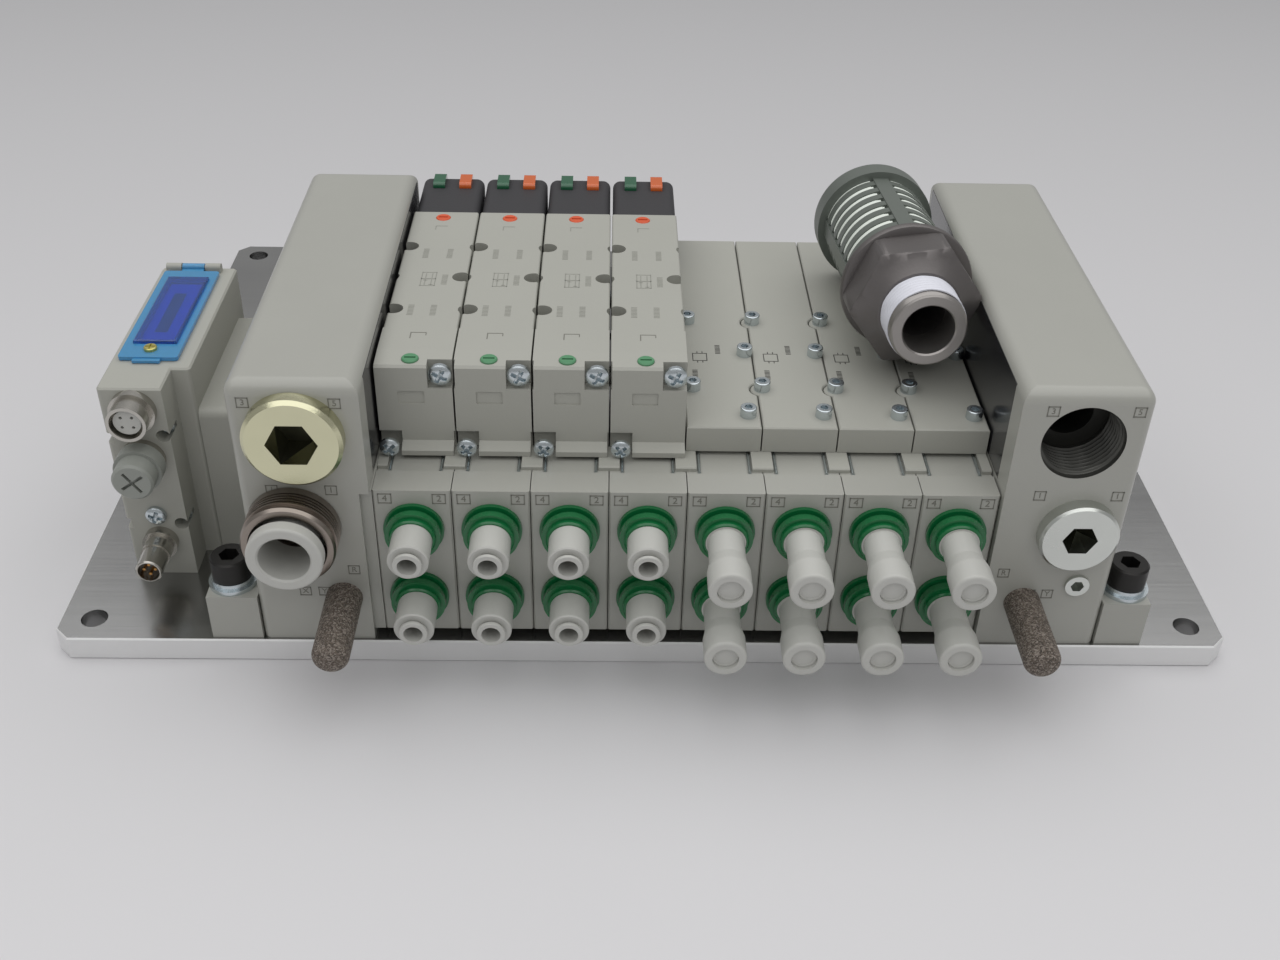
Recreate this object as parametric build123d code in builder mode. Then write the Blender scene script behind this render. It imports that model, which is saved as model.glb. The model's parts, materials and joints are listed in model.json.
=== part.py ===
from build123d import *
import os
from math import cos, radians, sin

os.makedirs("parts", exist_ok=True)

# Pneumatic valve island: eight manifold stations clamped between two end blocks on
# a mounting plate, four of them with solenoid valves and four with blanking plates.
# A serial interface unit stands at the left, a spare silencer rests at the right.
# Frame: +X right, +Y to the back, +Z up, origin at the centre of the plate's underside.

# ---------------------------------------------------------------- driving dimensions, mm
plate_length = 400.0
plate_depth = 295.0
plate_thickness = 9.0
plate_corner = 5.0
plate_hole_spacing_x = 377.0
plate_hole_spacing_y = 274.0
plate_hole_radius = 4.5

station_pitch = 25.0
station_count = 8
valve_count = 4
first_station_x = -75.4
bank_left = first_station_x - station_pitch / 2
bank_right = bank_left + station_pitch * station_count

block_front = -146.0
block_back = 10.9
block_top = 109.6
block_round = 4.5
left_outer = -129.0
left_inner = -88.3
right_inner = 112.4
right_outer = 153.5
seal_plate_thickness = 3.2
foot_width = 17.0
foot_depth = 19.0
foot_top = 26.3
side_plate_thickness = 2.0
side_plate_bottom = 70.5

manifold_front = -143.9
manifold_back = 11.0
manifold_bottom = 11.8
manifold_top = 69.6
shelf_z = 68.3
front_strip_z = 69.25
front_strip_back = -132.9
seat_front = -118.8
manifold_width = 24.7

upper_port_z = 54.6
lower_port_z = 26.9
collar_front = -149.0

valve_width = 24.4
valve_bottom = 70.0
valve_top = 102.1
valve_front = -121.5
valve_joint = -98.0
valve_cap_front = -9.3
valve_cap_back = 23.1

cover_top = 79.3
cover_front = -121.0
cover_back = 16.3
cover_width = 24.5

interface_left = -180.5
interface_step = -159.3
interface_right = -153.0
interface_front = -112.0
interface_shoulder = -99.0
interface_back = -26.0
interface_top = 86.0

station_x = [first_station_x + station_pitch * i for i in range(station_count)]
valve_x = station_x[:valve_count]
covered_x = station_x[valve_count:]
fitting_ports = [(x, 0, z) for x in valve_x for z in (upper_port_z, lower_port_z)]
plugged_ports = [(x, 0, z) for x in covered_x for z in (upper_port_z, lower_port_z)]


# ---------------------------------------------------------------- shared ways of making shapes
def facing_front(x, y, z):
    """Plane through a point, with its normal to the front and its own y upwards."""
    return Plane(origin=(x, y, z), x_dir=(1, 0, 0), z_dir=(0, -1, 0))


def facing_right(x, y, z):
    """Plane through a point, with its normal to the right and its own y upwards."""
    return Plane(origin=(x, y, z), x_dir=(0, 1, 0), z_dir=(1, 0, 0))


def box_between(low, high, mode=Mode.ADD):
    """A block between two opposite corners."""
    size = [b - a for a, b in zip(low, high)]
    middle = [(a + b) / 2 for a, b in zip(low, high)]
    with Locations(tuple(middle)):
        Box(size[0], size[1], size[2], mode=mode)


def turned(x, z, steps):
    """Coaxial discs along the front-to-back axis, each (radius, rear y, front y)."""
    for radius, rear, front in steps:
        with BuildSketch(facing_front(x, rear, z)) as disc:
            Circle(radius)
        extrude(disc.sketch, amount=rear - front)


def bored(x, z, radius, mouth, end):
    """A round hole along the front-to-back axis from its mouth to its end."""
    with BuildSketch(facing_front(x, end, z)) as hole:
        Circle(radius)
    extrude(hole.sketch, amount=end - mouth, mode=Mode.SUBTRACT)


def hex_socket(x, z, across_flats, mouth, end):
    """A hexagonal key socket along the front-to-back axis."""
    with BuildSketch(facing_front(x, end, z)) as hexagon:
        RegularPolygon(across_flats / 2, 6, major_radius=False)
    extrude(hexagon.sketch, amount=end - mouth, mode=Mode.SUBTRACT)


def cross_drilled(y, z, radius, x_from, x_to):
    """A round hole along the length of the island."""
    with BuildSketch(facing_right(x_from, y, z)) as hole:
        Circle(radius)
    extrude(hole.sketch, amount=x_to - x_from, mode=Mode.SUBTRACT)


# ---------------------------------------------------------------- mounting plate
foot_x_left = left_outer - 9.5
foot_x_right = right_outer + 9.0
foot_y_front = block_front + 8.5
foot_y_back = block_back - 8.5
foot_centres = [(x, y) for x in (foot_x_left, foot_x_right) for y in (foot_y_front, foot_y_back)]
foot_bolt_radius = 4.0

with BuildPart() as mounting_plate:
    with BuildSketch(Plane.XY) as plate_outline:
        Rectangle(plate_length, plate_depth)
        chamfer(plate_outline.vertices(), plate_corner)
    extrude(amount=plate_thickness)
    chamfer(mounting_plate.edges().group_by(Axis.Z)[-1], 0.5)
    chamfer(mounting_plate.edges().group_by(Axis.Z)[0], 0.5)
    with BuildSketch(Plane.XY):
        with GridLocations(plate_hole_spacing_x, plate_hole_spacing_y, 2, 2):
            Circle(plate_hole_radius)
        with Locations(*foot_centres):
            Circle(foot_bolt_radius)
    extrude(amount=plate_thickness, mode=Mode.SUBTRACT)

# ---------------------------------------------------------------- end blocks and their air ways
exhaust_z = 91.2
supply_z = 57.0
breather_z = 27.3
left_exhaust_x = -109.0
left_supply_x = -113.0
left_breather_x = -100.0
right_exhaust_x = 133.5
right_supply_x = 138.0
right_breather_x = 125.5
pilot_port_x = 142.5
pilot_port_z = 35.0
exhaust_thread_radius = 13.2
exhaust_thread_length = 18.0
supply_gallery_y = -62.0
front_exhaust_gallery_y = -95.0
rear_exhaust_gallery_y = -27.0
exhaust_gallery_z = 46.0
supply_gallery_radius = 7.5
exhaust_gallery_radius = 8.0
tie_rod_radius = 3.0
tie_rod_yz = [(-118.0, 41.0), (2.0, 60.0), (2.0, 22.0)]
side_plate_front = block_front + 10.0
side_plate_back = block_back - 2.5
side_plate_top = block_top - 3.2
foot_seam = 0.1


def end_block_body(block, outer, inner, foot_out):
    """The cast block with its rounded top and edges, and two bolted feet across a fine seam."""
    low_x = min(outer, inner)
    high_x = max(outer, inner)
    box_between((low_x, block_front, plate_thickness), (high_x, block_back, block_top))
    upright = block.edges().filter_by(Axis.Z).sort_by(Axis.X)
    outer_pair = upright[:2] if outer < inner else upright[2:]
    fillet(outer_pair, block_round - 1.5)
    fillet(block.edges().group_by(Axis.Z)[-1], block_round)
    foot_root = outer - foot_seam if foot_out < outer else outer + foot_seam
    for y in (block_front + foot_depth / 2, block_back - foot_depth / 2):
        box_between(
            (min(foot_root, foot_out), y - foot_depth / 2, plate_thickness),
            (max(foot_root, foot_out), y + foot_depth / 2, foot_top),
        )


def air_ways(sign, inner, exhaust_x, supply_x):
    """Bores from the front ports to the galleries that run through every station."""
    bored(supply_x, supply_z, supply_gallery_radius, block_front, supply_gallery_y)
    bored(exhaust_x, exhaust_z, exhaust_gallery_radius, block_front, rear_exhaust_gallery_y)
    reach = sorted((supply_x, inner + sign))
    cross_drilled(supply_gallery_y, supply_z, supply_gallery_radius, reach[0], reach[1])
    for y in (front_exhaust_gallery_y, rear_exhaust_gallery_y):
        reach = sorted((exhaust_x, inner + sign))
        cross_drilled(y, exhaust_gallery_z, exhaust_gallery_radius, reach[0], reach[1])
        with BuildSketch(Plane.XY.offset(exhaust_gallery_z)) as riser:
            with Locations((exhaust_x, y)):
                Circle(exhaust_gallery_radius - 1.5)
        extrude(riser.sketch, amount=exhaust_z - exhaust_gallery_z, mode=Mode.SUBTRACT)


def foot_holes(x):
    """Clearance holes for the two bolts of one side."""
    with BuildSketch(Plane.XY.offset(plate_thickness)) as hole:
        with Locations((x, foot_y_front), (x, foot_y_back)):
            Circle(foot_bolt_radius + 0.5)
    extrude(hole.sketch, amount=foot_top - plate_thickness, mode=Mode.SUBTRACT)


with BuildPart() as left_end_block:
    end_block_body(left_end_block, left_outer, left_inner, left_outer - foot_width)
    box_between(
        (left_inner - seal_plate_thickness, block_front, plate_thickness),
        (left_inner, block_back, front_strip_z),
        mode=Mode.SUBTRACT,
    )
    box_between(
        (left_inner - side_plate_thickness, side_plate_front, side_plate_bottom),
        (left_inner, side_plate_back, side_plate_top),
        mode=Mode.SUBTRACT,
    )
    foot_holes(foot_x_left)
    air_ways(1.0, left_inner, left_exhaust_x, left_supply_x)
    bored(left_exhaust_x, exhaust_z, exhaust_thread_radius, block_front, block_front + 15.0)
    bored(left_supply_x, supply_z, 10.0, block_front, block_front + 14.0)
    bored(left_breather_x, breather_z, 4.8, block_front, block_front + 9.0)
    bored(left_breather_x, breather_z, 2.4, block_front, block_front + 40.0)
    for rod_y, rod_z in tie_rod_yz:
        cross_drilled(rod_y, rod_z, tie_rod_radius, left_inner - 24.0, left_inner + 1.0)

with BuildPart() as right_end_block:
    end_block_body(right_end_block, right_outer, right_inner, right_outer + foot_width - 1.0)
    box_between(
        (right_inner, side_plate_front, side_plate_bottom),
        (right_inner + side_plate_thickness, side_plate_back, side_plate_top),
        mode=Mode.SUBTRACT,
    )
    foot_holes(foot_x_right)
    air_ways(-1.0, right_inner, right_exhaust_x, right_supply_x)
    bored(right_exhaust_x, exhaust_z, exhaust_thread_radius, block_front, block_front + exhaust_thread_length)
    bored(right_supply_x, supply_z, 10.0, block_front, block_front + 14.0)
    bored(right_breather_x, breather_z, 4.8, block_front, block_front + 9.0)
    bored(right_breather_x, breather_z, 2.4, block_front, block_front + 40.0)
    bored(pilot_port_x, pilot_port_z, 4.0, block_front, block_front + 10.0)
    for rod_y, rod_z in tie_rod_yz:
        cross_drilled(rod_y, rod_z, tie_rod_radius, right_inner - 1.0, right_inner + 24.0)

with BuildPart() as left_seal_plate:
    box_between(
        (left_inner - seal_plate_thickness, manifold_front, manifold_bottom),
        (bank_left, manifold_back - 0.1, front_strip_z),
    )
    cross_drilled(supply_gallery_y, supply_z, supply_gallery_radius, left_inner - 4.0, bank_left + 1.0)
    for gallery_y in (front_exhaust_gallery_y, rear_exhaust_gallery_y):
        cross_drilled(gallery_y, exhaust_gallery_z, exhaust_gallery_radius, left_inner - 4.0, bank_left + 1.0)
    for rod_y, rod_z in tie_rod_yz:
        cross_drilled(rod_y, rod_z, tie_rod_radius + 0.3, left_inner - 4.0, bank_left + 1.0)

with BuildPart() as inner_side_plates:
    box_between(
        (left_inner - side_plate_thickness, side_plate_front, side_plate_bottom),
        (left_inner, side_plate_back, side_plate_top),
    )
    box_between(
        (right_inner, side_plate_front, side_plate_bottom),
        (right_inner + side_plate_thickness, side_plate_back, side_plate_top),
    )
    fillet(inner_side_plates.edges().filter_by(Axis.X).group_by(Axis.Z)[-1], 0.8)

with BuildPart() as tie_rods:
    for rod_y, rod_z in tie_rod_yz:
        with BuildSketch(facing_right(left_inner - 22.0, rod_y, rod_z)):
            Circle(tie_rod_radius)
        extrude(amount=right_inner - left_inner + 44.0)

# ---------------------------------------------------------------- foot bolts and washers
flat_washer = 1.6
spring_washer = 2.0
bolt_head_height = 8.0
bolt_head_radius = 6.5

with BuildPart() as foot_bolts:
    with BuildSketch(Plane.XY):
        with Locations(*foot_centres):
            Circle(foot_bolt_radius)
    extrude(amount=foot_top + flat_washer + spring_washer)
    with BuildSketch(Plane.XY.offset(foot_top + flat_washer + spring_washer)):
        with Locations(*foot_centres):
            Circle(bolt_head_radius)
    extrude(amount=bolt_head_height)
    chamfer(foot_bolts.edges().group_by(Axis.Z)[-1], 0.6)
    with BuildSketch(Plane.XY.offset(foot_top + flat_washer + spring_washer + 3.5)):
        with Locations(*foot_centres):
            RegularPolygon(3.0, 6, major_radius=False)
    extrude(amount=bolt_head_height, mode=Mode.SUBTRACT)

with BuildPart() as foot_washers:
    with BuildSketch(Plane.XY.offset(foot_top)):
        with Locations(*foot_centres):
            Circle(8.0)
    extrude(amount=flat_washer)
    with BuildSketch(Plane.XY.offset(foot_top + flat_washer)):
        with Locations(*foot_centres):
            Circle(7.0)
    extrude(amount=spring_washer)
    with BuildSketch(Plane.XY.offset(foot_top)):
        with Locations(*foot_centres):
            Circle(foot_bolt_radius)
    extrude(amount=flat_washer + spring_washer, mode=Mode.SUBTRACT)

# ---------------------------------------------------------------- plugs, supply fitting and breathers
plug_flange = 5.5

with BuildPart() as left_exhaust_plug:
    turned(
        left_exhaust_x,
        exhaust_z,
        [(exhaust_thread_radius, block_front + 13.0, block_front), (15.5, block_front, block_front - plug_flange)],
    )
    chamfer(left_exhaust_plug.edges().group_by(Axis.Y)[0], 1.2)
    hex_socket(left_exhaust_x, exhaust_z, 14.0, block_front - plug_flange, block_front + 8.0)

with BuildPart() as right_blanking_plugs:
    turned(
        right_supply_x,
        supply_z,
        [(10.0, block_front + 12.0, block_front), (12.8, block_front, block_front - 5.0)],
    )
    chamfer(right_blanking_plugs.edges().group_by(Axis.Y)[0], 0.8)
    hex_socket(right_supply_x, supply_z, 10.0, block_front - 5.0, block_front + 7.0)
    turned(pilot_port_x, pilot_port_z, [(4.0, block_front + 9.0, block_front - 1.2)])
    hex_socket(pilot_port_x, pilot_port_z, 3.9, block_front - 1.2, block_front + 5.0)

supply_body_front = block_front - 12.4
supply_ring_front = block_front - 18.5
supply_tube_radius = 8.1

with BuildPart() as supply_fitting_body:
    turned(
        left_supply_x,
        supply_z,
        [
            (10.0, block_front + 13.0, block_front),
            (14.2, block_front - 4.5, block_front - 5.6),
            (15.0, block_front - 5.6, supply_body_front),
        ],
    )
    with BuildSketch(facing_front(left_supply_x, block_front, supply_z)):
        RegularPolygon(14.5, 6, major_radius=False)
    extrude(amount=4.5)
    chamfer(supply_fitting_body.edges().group_by(Axis.Y)[0], 1.0)
    bored(left_supply_x, supply_z, 9.7, supply_body_front, block_front + 2.0)
    bored(left_supply_x, supply_z, 7.0, supply_body_front, block_front + 14.0)

with BuildPart() as supply_release_ring:
    turned(
        left_supply_x,
        supply_z,
        [(9.4, block_front - 1.0, supply_ring_front + 1.0), (12.0, supply_body_front - 1.7, supply_ring_front)],
    )
    fillet(supply_release_ring.edges().group_by(Axis.Y)[0], 1.0)
    bored(left_supply_x, supply_z, supply_tube_radius, supply_ring_front, block_front)
    chamfer(supply_release_ring.edges().group_by(Axis.Y)[0].sort_by(SortBy.LENGTH)[0], 0.6)

with BuildPart() as breather_filters:
    for x in (left_breather_x, right_breather_x):
        turned(
            x,
            breather_z,
            [(4.8, block_front + 8.0, block_front), (6.0, block_front, block_front - 32.0)],
        )
    fillet(breather_filters.edges().group_by(Axis.Y)[0], 3.6)

# ---------------------------------------------------------------- manifold stations
shelf_points = [
    (manifold_front, manifold_bottom),
    (manifold_front, front_strip_z),
    (front_strip_back, front_strip_z),
    (front_strip_back + 0.6, shelf_z),
    (seat_front, shelf_z),
    (seat_front, manifold_top),
    (manifold_back, manifold_top),
    (manifold_back, manifold_bottom),
]
port_cartridge_radius = 8.0
cartridge_back = -122.0
screw_left_offset = -10.8


with BuildPart() as manifold_blocks:
    for centre in station_x:
        with BuildSketch(facing_right(centre - manifold_width / 2, 0, 0)):
            with BuildLine():
                Polyline(*shelf_points, close=True)
            make_face()
        extrude(amount=manifold_width)
    chamfer(manifold_blocks.edges().filter_by(Axis.Z).group_by(Axis.Y)[0], 0.5)
    for centre in station_x:
        for port_z in (upper_port_z, lower_port_z):
            bored(centre, port_z, port_cartridge_radius, manifold_front, cartridge_back)
            bored(centre, port_z, 3.6, manifold_front, cartridge_back + 14.0)
        with BuildSketch(Plane.XY.offset(upper_port_z)):
            with Locations((centre, cartridge_back + 10.4)):
                Circle(3.2)
        extrude(amount=20.0, mode=Mode.SUBTRACT)
    cross_drilled(supply_gallery_y, supply_z, supply_gallery_radius, bank_left - 1.0, bank_right + 1.0)
    for gallery_y in (front_exhaust_gallery_y, rear_exhaust_gallery_y):
        cross_drilled(gallery_y, exhaust_gallery_z, exhaust_gallery_radius, bank_left - 1.0, bank_right + 1.0)
    for rod_y, rod_z in tie_rod_yz:
        cross_drilled(rod_y, rod_z, tie_rod_radius + 0.3, bank_left - 1.0, bank_right + 1.0)

# one rubber gasket under each valve or blanking plate
with BuildPart() as valve_gaskets:
    for centre in station_x:
        box_between(
            (centre - 11.6, seat_front + 1.0, manifold_top),
            (centre + 11.6, manifold_back - 4.0, valve_bottom),
        )

# ---------------------------------------------------------------- ports: collars, fittings, plugs
body_radius = 6.5
body_front = -162.0
ring_front = -164.2
tube_radius = 3.1

with BuildPart() as collar_shape:
    turned(
        0,
        0,
        [
            (port_cartridge_radius, cartridge_back, manifold_front),
            (9.75, manifold_front, manifold_front - 1.5),
            (8.2, manifold_front - 1.5, manifold_front - 2.7),
            (8.9, manifold_front - 2.7, collar_front),
            (7.5, collar_front, collar_front - 1.6),
        ],
    )
    chamfer(collar_shape.edges().group_by(Axis.Y)[0], 0.5)
    bored(0, 0, body_radius, collar_front - 1.6, cartridge_back)

with BuildPart() as port_collars:
    with Locations(*(fitting_ports + plugged_ports)):
        add(collar_shape.part)

with BuildPart() as fitting_shape:
    turned(0, 0, [(body_radius, cartridge_back, body_front)])
    chamfer(fitting_shape.edges().group_by(Axis.Y)[0], 0.4)
    bored(0, 0, 4.05, body_front, -150.0)
    bored(0, 0, tube_radius, body_front, -146.0)
    bored(0, 0, 2.0, body_front, cartridge_back)

with BuildPart() as fitting_bodies:
    with Locations(*fitting_ports):
        add(fitting_shape.part)

with BuildPart() as ring_shape:
    turned(0, 0, [(3.75, -152.0, ring_front + 0.4), (4.65, body_front - 1.1, ring_front)])
    fillet(ring_shape.edges().group_by(Axis.Y)[0], 0.35)
    bored(0, 0, tube_radius, ring_front, -152.0)

with BuildPart() as plug_shape:
    turned(0, 0, [(body_radius, cartridge_back, -150.6), (5.9, -150.6, -161.0), (6.9, -166.0, -175.0)])
    with BuildSketch(facing_front(0, -161.0, 0)):
        Circle(5.9)
    with BuildSketch(facing_front(0, -166.0, 0)):
        Circle(6.9)
    loft()
    fillet(plug_shape.edges().group_by(Axis.Y)[0], 1.0)
    bored(0, 0, 4.25, -175.0, -166.5)
    bored(0, 0, 1.5, -175.0, -164.0)

with BuildPart() as tube_plugs:
    with Locations(*plugged_ports):
        add(plug_shape.part)

release_rings = []
for port in fitting_ports:
    with BuildPart() as release_ring:
        with Locations(port):
            add(ring_shape.part)
    release_rings.append(release_ring)

# ---------------------------------------------------------------- clip tabs and wire clips on the front shelf
clip_x = [bank_left + station_pitch * i for i in range(station_count + 1)]
tab_half_width = 3.4
tab_front = -130.6
tab_top = 69.9
wire_radius = 0.5
wire_z = shelf_z + wire_radius
wire_half_width = 4.3

with BuildPart() as clip_tabs:
    for x in clip_x:
        tab_left = max(x - tab_half_width, bank_left + 0.2)
        tab_right = min(x + tab_half_width, bank_right - 0.2)
        box_between((tab_left, tab_front, shelf_z), (tab_right, seat_front, tab_top))
    chamfer(clip_tabs.edges().filter_by(Axis.X).group_by(Axis.Y)[0].group_by(Axis.Z)[-1], 0.4)

with BuildPart() as clip_shape:
    with BuildSketch(facing_front(0, seat_front - 0.2, wire_z)):
        with Locations((-wire_half_width, 0), (wire_half_width, 0)):
            Circle(wire_radius)
    extrude(amount=seat_front - front_strip_back - 1.2)

# at each end of the bank only the leg on the first or last station is there
with BuildPart() as end_leg_shape:
    with BuildSketch(facing_front(0, seat_front - 0.2, wire_z)):
        Circle(wire_radius)
    extrude(amount=seat_front - front_strip_back - 1.2)

with BuildPart() as retaining_clips:
    with Locations(*[(x, 0, 0) for x in clip_x[1:-1]]):
        add(clip_shape.part)
    with Locations((bank_left + wire_half_width, 0, 0), (bank_right - wire_half_width, 0, 0)):
        add(end_leg_shape.part)

# ---------------------------------------------------------------- valves
override_radius = 2.75
override_front_y = -117.3
override_rear_y = -14.1
override_x_front = -1.1
override_x_rear = -0.7
override_top = valve_top + 0.3
well_radius = 3.35
left_wells_y = (-38.3, -85.0)
right_well_y = -61.7
left_well_x = -10.5
right_well_x = 10.4
well_depth = 24.0
well_screw_radius = 2.3
spool_z = 84.0
skirt_front = -125.2
corner_screw_x = 8.4
corner_screw_z = 98.0
base_screw_x = -8.8
base_screw_z = 73.3



def well_places(centre):
    """Places of the three vertical screw wells of one valve, which cut into its neighbours too."""
    return [(centre + left_well_x, y) for y in left_wells_y] + [(centre + right_well_x, right_well_y)]


valve_bodies = []
for centre in valve_x:
    with BuildPart() as valve_body:
        box_between(
            (centre - valve_width / 2, valve_joint, valve_bottom),
            (centre + valve_width / 2, valve_cap_front, valve_top),
        )
        fillet(valve_body.edges().filter_by(Axis.Y).group_by(Axis.Z)[-1], 0.8)
        with BuildSketch(Plane.XY.offset(valve_top - well_depth)):
            for neighbour in (centre - station_pitch, centre, centre + station_pitch):
                with Locations(*well_places(neighbour)):
                    Circle(well_radius)
        extrude(amount=well_depth, mode=Mode.SUBTRACT)
        with BuildSketch(Plane.XY.offset(override_top - 9.0)):
            with Locations((centre + override_x_rear, override_rear_y)):
                Circle(override_radius + 0.05)
        extrude(amount=10.0, mode=Mode.SUBTRACT)
        bored(centre, spool_z, 5.0, valve_joint, valve_cap_front)
    valve_bodies.append(valve_body)

with BuildPart() as valve_end_covers:
    for centre in valve_x:
        with BuildSketch(facing_right(centre - valve_width / 2, 0, 0)):
            with BuildLine():
                Polyline(
                    (valve_joint, valve_bottom),
                    (valve_joint, valve_top),
                    (-112.0, valve_top),
                    (valve_front + 0.8, valve_top - 0.5),
                    (valve_front, valve_top - 1.3),
                    (valve_front, 73.6),
                    (skirt_front, 71.8),
                    (skirt_front, valve_bottom),
                    close=True,
                )
            make_face()
        extrude(amount=valve_width)
    for centre in valve_x:
        box_between(
            (centre + 4.4, valve_front - 1.0, corner_screw_z - 4.6),
            (centre + valve_width / 2 + 1.0, valve_front + 4.0, valve_top + 1.0),
            mode=Mode.SUBTRACT,
        )
        box_between(
            (centre - valve_width / 2 - 1.0, skirt_front - 1.0, valve_bottom - 1.0),
            (centre - 5.0, skirt_front + 6.2, 77.2),
            mode=Mode.SUBTRACT,
        )
        with BuildSketch(facing_front(centre - 1.1, valve_front, 90.0)):
            RectangleRounded(8.4, 4.6, 0.5)
        extrude(amount=-0.5, mode=Mode.SUBTRACT)
        with BuildSketch(Plane.XY.offset(override_top - 9.0)):
            with Locations((centre + override_x_front, override_front_y)):
                Circle(override_radius + 0.05)
        extrude(amount=10.0, mode=Mode.SUBTRACT)

# one spool in each valve body, with lands that open and shut the ports
with BuildPart() as valve_spools:
    for centre in valve_x:
        turned(centre, spool_z, [(2.6, valve_cap_front, valve_joint)])
        for land in range(6):
            rear = valve_cap_front - 4.0 - land * 15.2
            turned(centre, spool_z, [(5.0, rear, rear - 5.0)])

with BuildPart() as pilot_covers:
    for centre in valve_x:
        box_between(
            (centre - 12.0, valve_cap_front, valve_bottom + 0.6),
            (centre + 12.0, valve_cap_back, valve_top - 0.2),
        )
    fillet(pilot_covers.edges().filter_by(Axis.Y).group_by(Axis.Z)[-1], 3.0)
    fillet(pilot_covers.edges().filter_by(Axis.X).group_by(Axis.Y)[-1].group_by(Axis.Z)[-1], 1.5)
    for centre in valve_x:
        for side in (-5.1, 5.1):
            box_between(
                (centre + side - 2.3, 13.0, valve_top - 6.0),
                (centre + side + 2.3, valve_cap_back + 1.0, valve_top + 1.0),
                mode=Mode.SUBTRACT,
            )

with BuildPart() as indicator_lenses:
    for centre in valve_x:
        for side in (-5.1, 5.1):
            box_between(
                (centre + side - 2.3, 13.0, valve_top - 6.0),
                (centre + side + 2.3, valve_cap_back, valve_top + 1.9),
            )
    fillet(indicator_lenses.edges().filter_by(Axis.X).group_by(Axis.Z)[-1], 1.6)

with BuildPart() as valve_screws:
    for centre in valve_x:
        turned(centre + corner_screw_x, corner_screw_z, [(3.4, valve_front + 4.0, valve_front + 1.8)])
        turned(centre + base_screw_x, base_screw_z, [(3.2, skirt_front + 6.2, skirt_front - 1.6)])
    fillet(valve_screws.edges().group_by(Axis.Y)[0], 1.0)
    fillet(valve_screws.edges().filter_by(GeomType.CIRCLE).group_by(Axis.Y)[-2], 0.9)
    for centre in valve_x:
        with BuildSketch(Plane.XY.offset(valve_top - well_depth)):
            with Locations(*well_places(centre)):
                Circle(well_screw_radius)
        extrude(amount=3.0)

front_overrides = []
rear_overrides = []
for centre in valve_x:
    for offset, y, made in (
        (override_x_front, override_front_y, front_overrides),
        (override_x_rear, override_rear_y, rear_overrides),
    ):
        with BuildPart() as override:
            with BuildSketch(Plane.XY.offset(override_top - 6.2)):
                with Locations((centre + offset, y)):
                    Circle(override_radius)
            extrude(amount=6.2)
            chamfer(override.edges().group_by(Axis.Z)[-1], 0.3)
            with BuildSketch(Plane.XY.offset(override_top - 0.7)):
                with Locations((centre + offset, y)):
                    Rectangle(3.6, 0.8)
            extrude(amount=1.0, mode=Mode.SUBTRACT)
        made.append(override)

# ---------------------------------------------------------------- blanking plates
cover_screw_radius = 2.75
cover_screw_height = 3.4
left_screws_y = (-50.8, -97.0)
right_screw_places = ((9.8, -73.8), (8.3, -113.4))
lobe_radius = 3.9


def left_screws(centre):
    """Places of the two left screws, a little further in where a valve stands beside the plate."""
    offset = screw_left_offset + (1.3 if centre == covered_x[0] else 0.0)
    return [(centre + offset, y) for y in left_screws_y]


def screw_places(centre):
    """Places of the four screws of one blanking plate."""
    left = left_screws(centre)
    right = [(centre + x, y) for x, y in right_screw_places]
    return left + right


with BuildPart() as blanking_plates:
    for centre in covered_x:
        last = centre == covered_x[-1]
        with BuildSketch(Plane.XY.offset(valve_bottom)):
            with Locations((centre, (cover_front + cover_back) / 2)):
                Rectangle(cover_width, cover_back - cover_front)
            if centre != covered_x[0]:
                with Locations(*left_screws(centre)):
                    Circle(lobe_radius)
            if not last:
                with Locations(*left_screws(centre + station_pitch)):
                    Circle(lobe_radius + 0.4, mode=Mode.SUBTRACT)
        extrude(amount=cover_top - valve_bottom)
    chamfer(blanking_plates.edges().group_by(Axis.Z)[-1], 0.4)

with BuildPart() as blanking_screws:
    every_place = [place for centre in covered_x for place in screw_places(centre)]
    with BuildSketch(Plane.XY.offset(cover_top)):
        with Locations(*every_place):
            Circle(cover_screw_radius)
    extrude(amount=cover_screw_height)
    fillet(blanking_screws.edges().group_by(Axis.Z)[-1], 0.4)
    with BuildSketch(Plane.XY.offset(cover_top + cover_screw_height - 1.8)):
        with Locations(*every_place):
            RegularPolygon(1.25, 6, major_radius=False)
    extrude(amount=3.0, mode=Mode.SUBTRACT)

# ---------------------------------------------------------------- interface unit and its connectors
connector_x = -169.4
socket_z = 78.0
cap_z = 58.8
earth_screw_z = 35.0
male_z = 23.8
lid_left = -178.0
lid_right = -158.0
lid_front = -94.5
hinge_y = -29.0
hinge_z = 87.7
lid_bottom = interface_top + 0.3
lid_screw_xy = (-168.2, -89.2)

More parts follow.
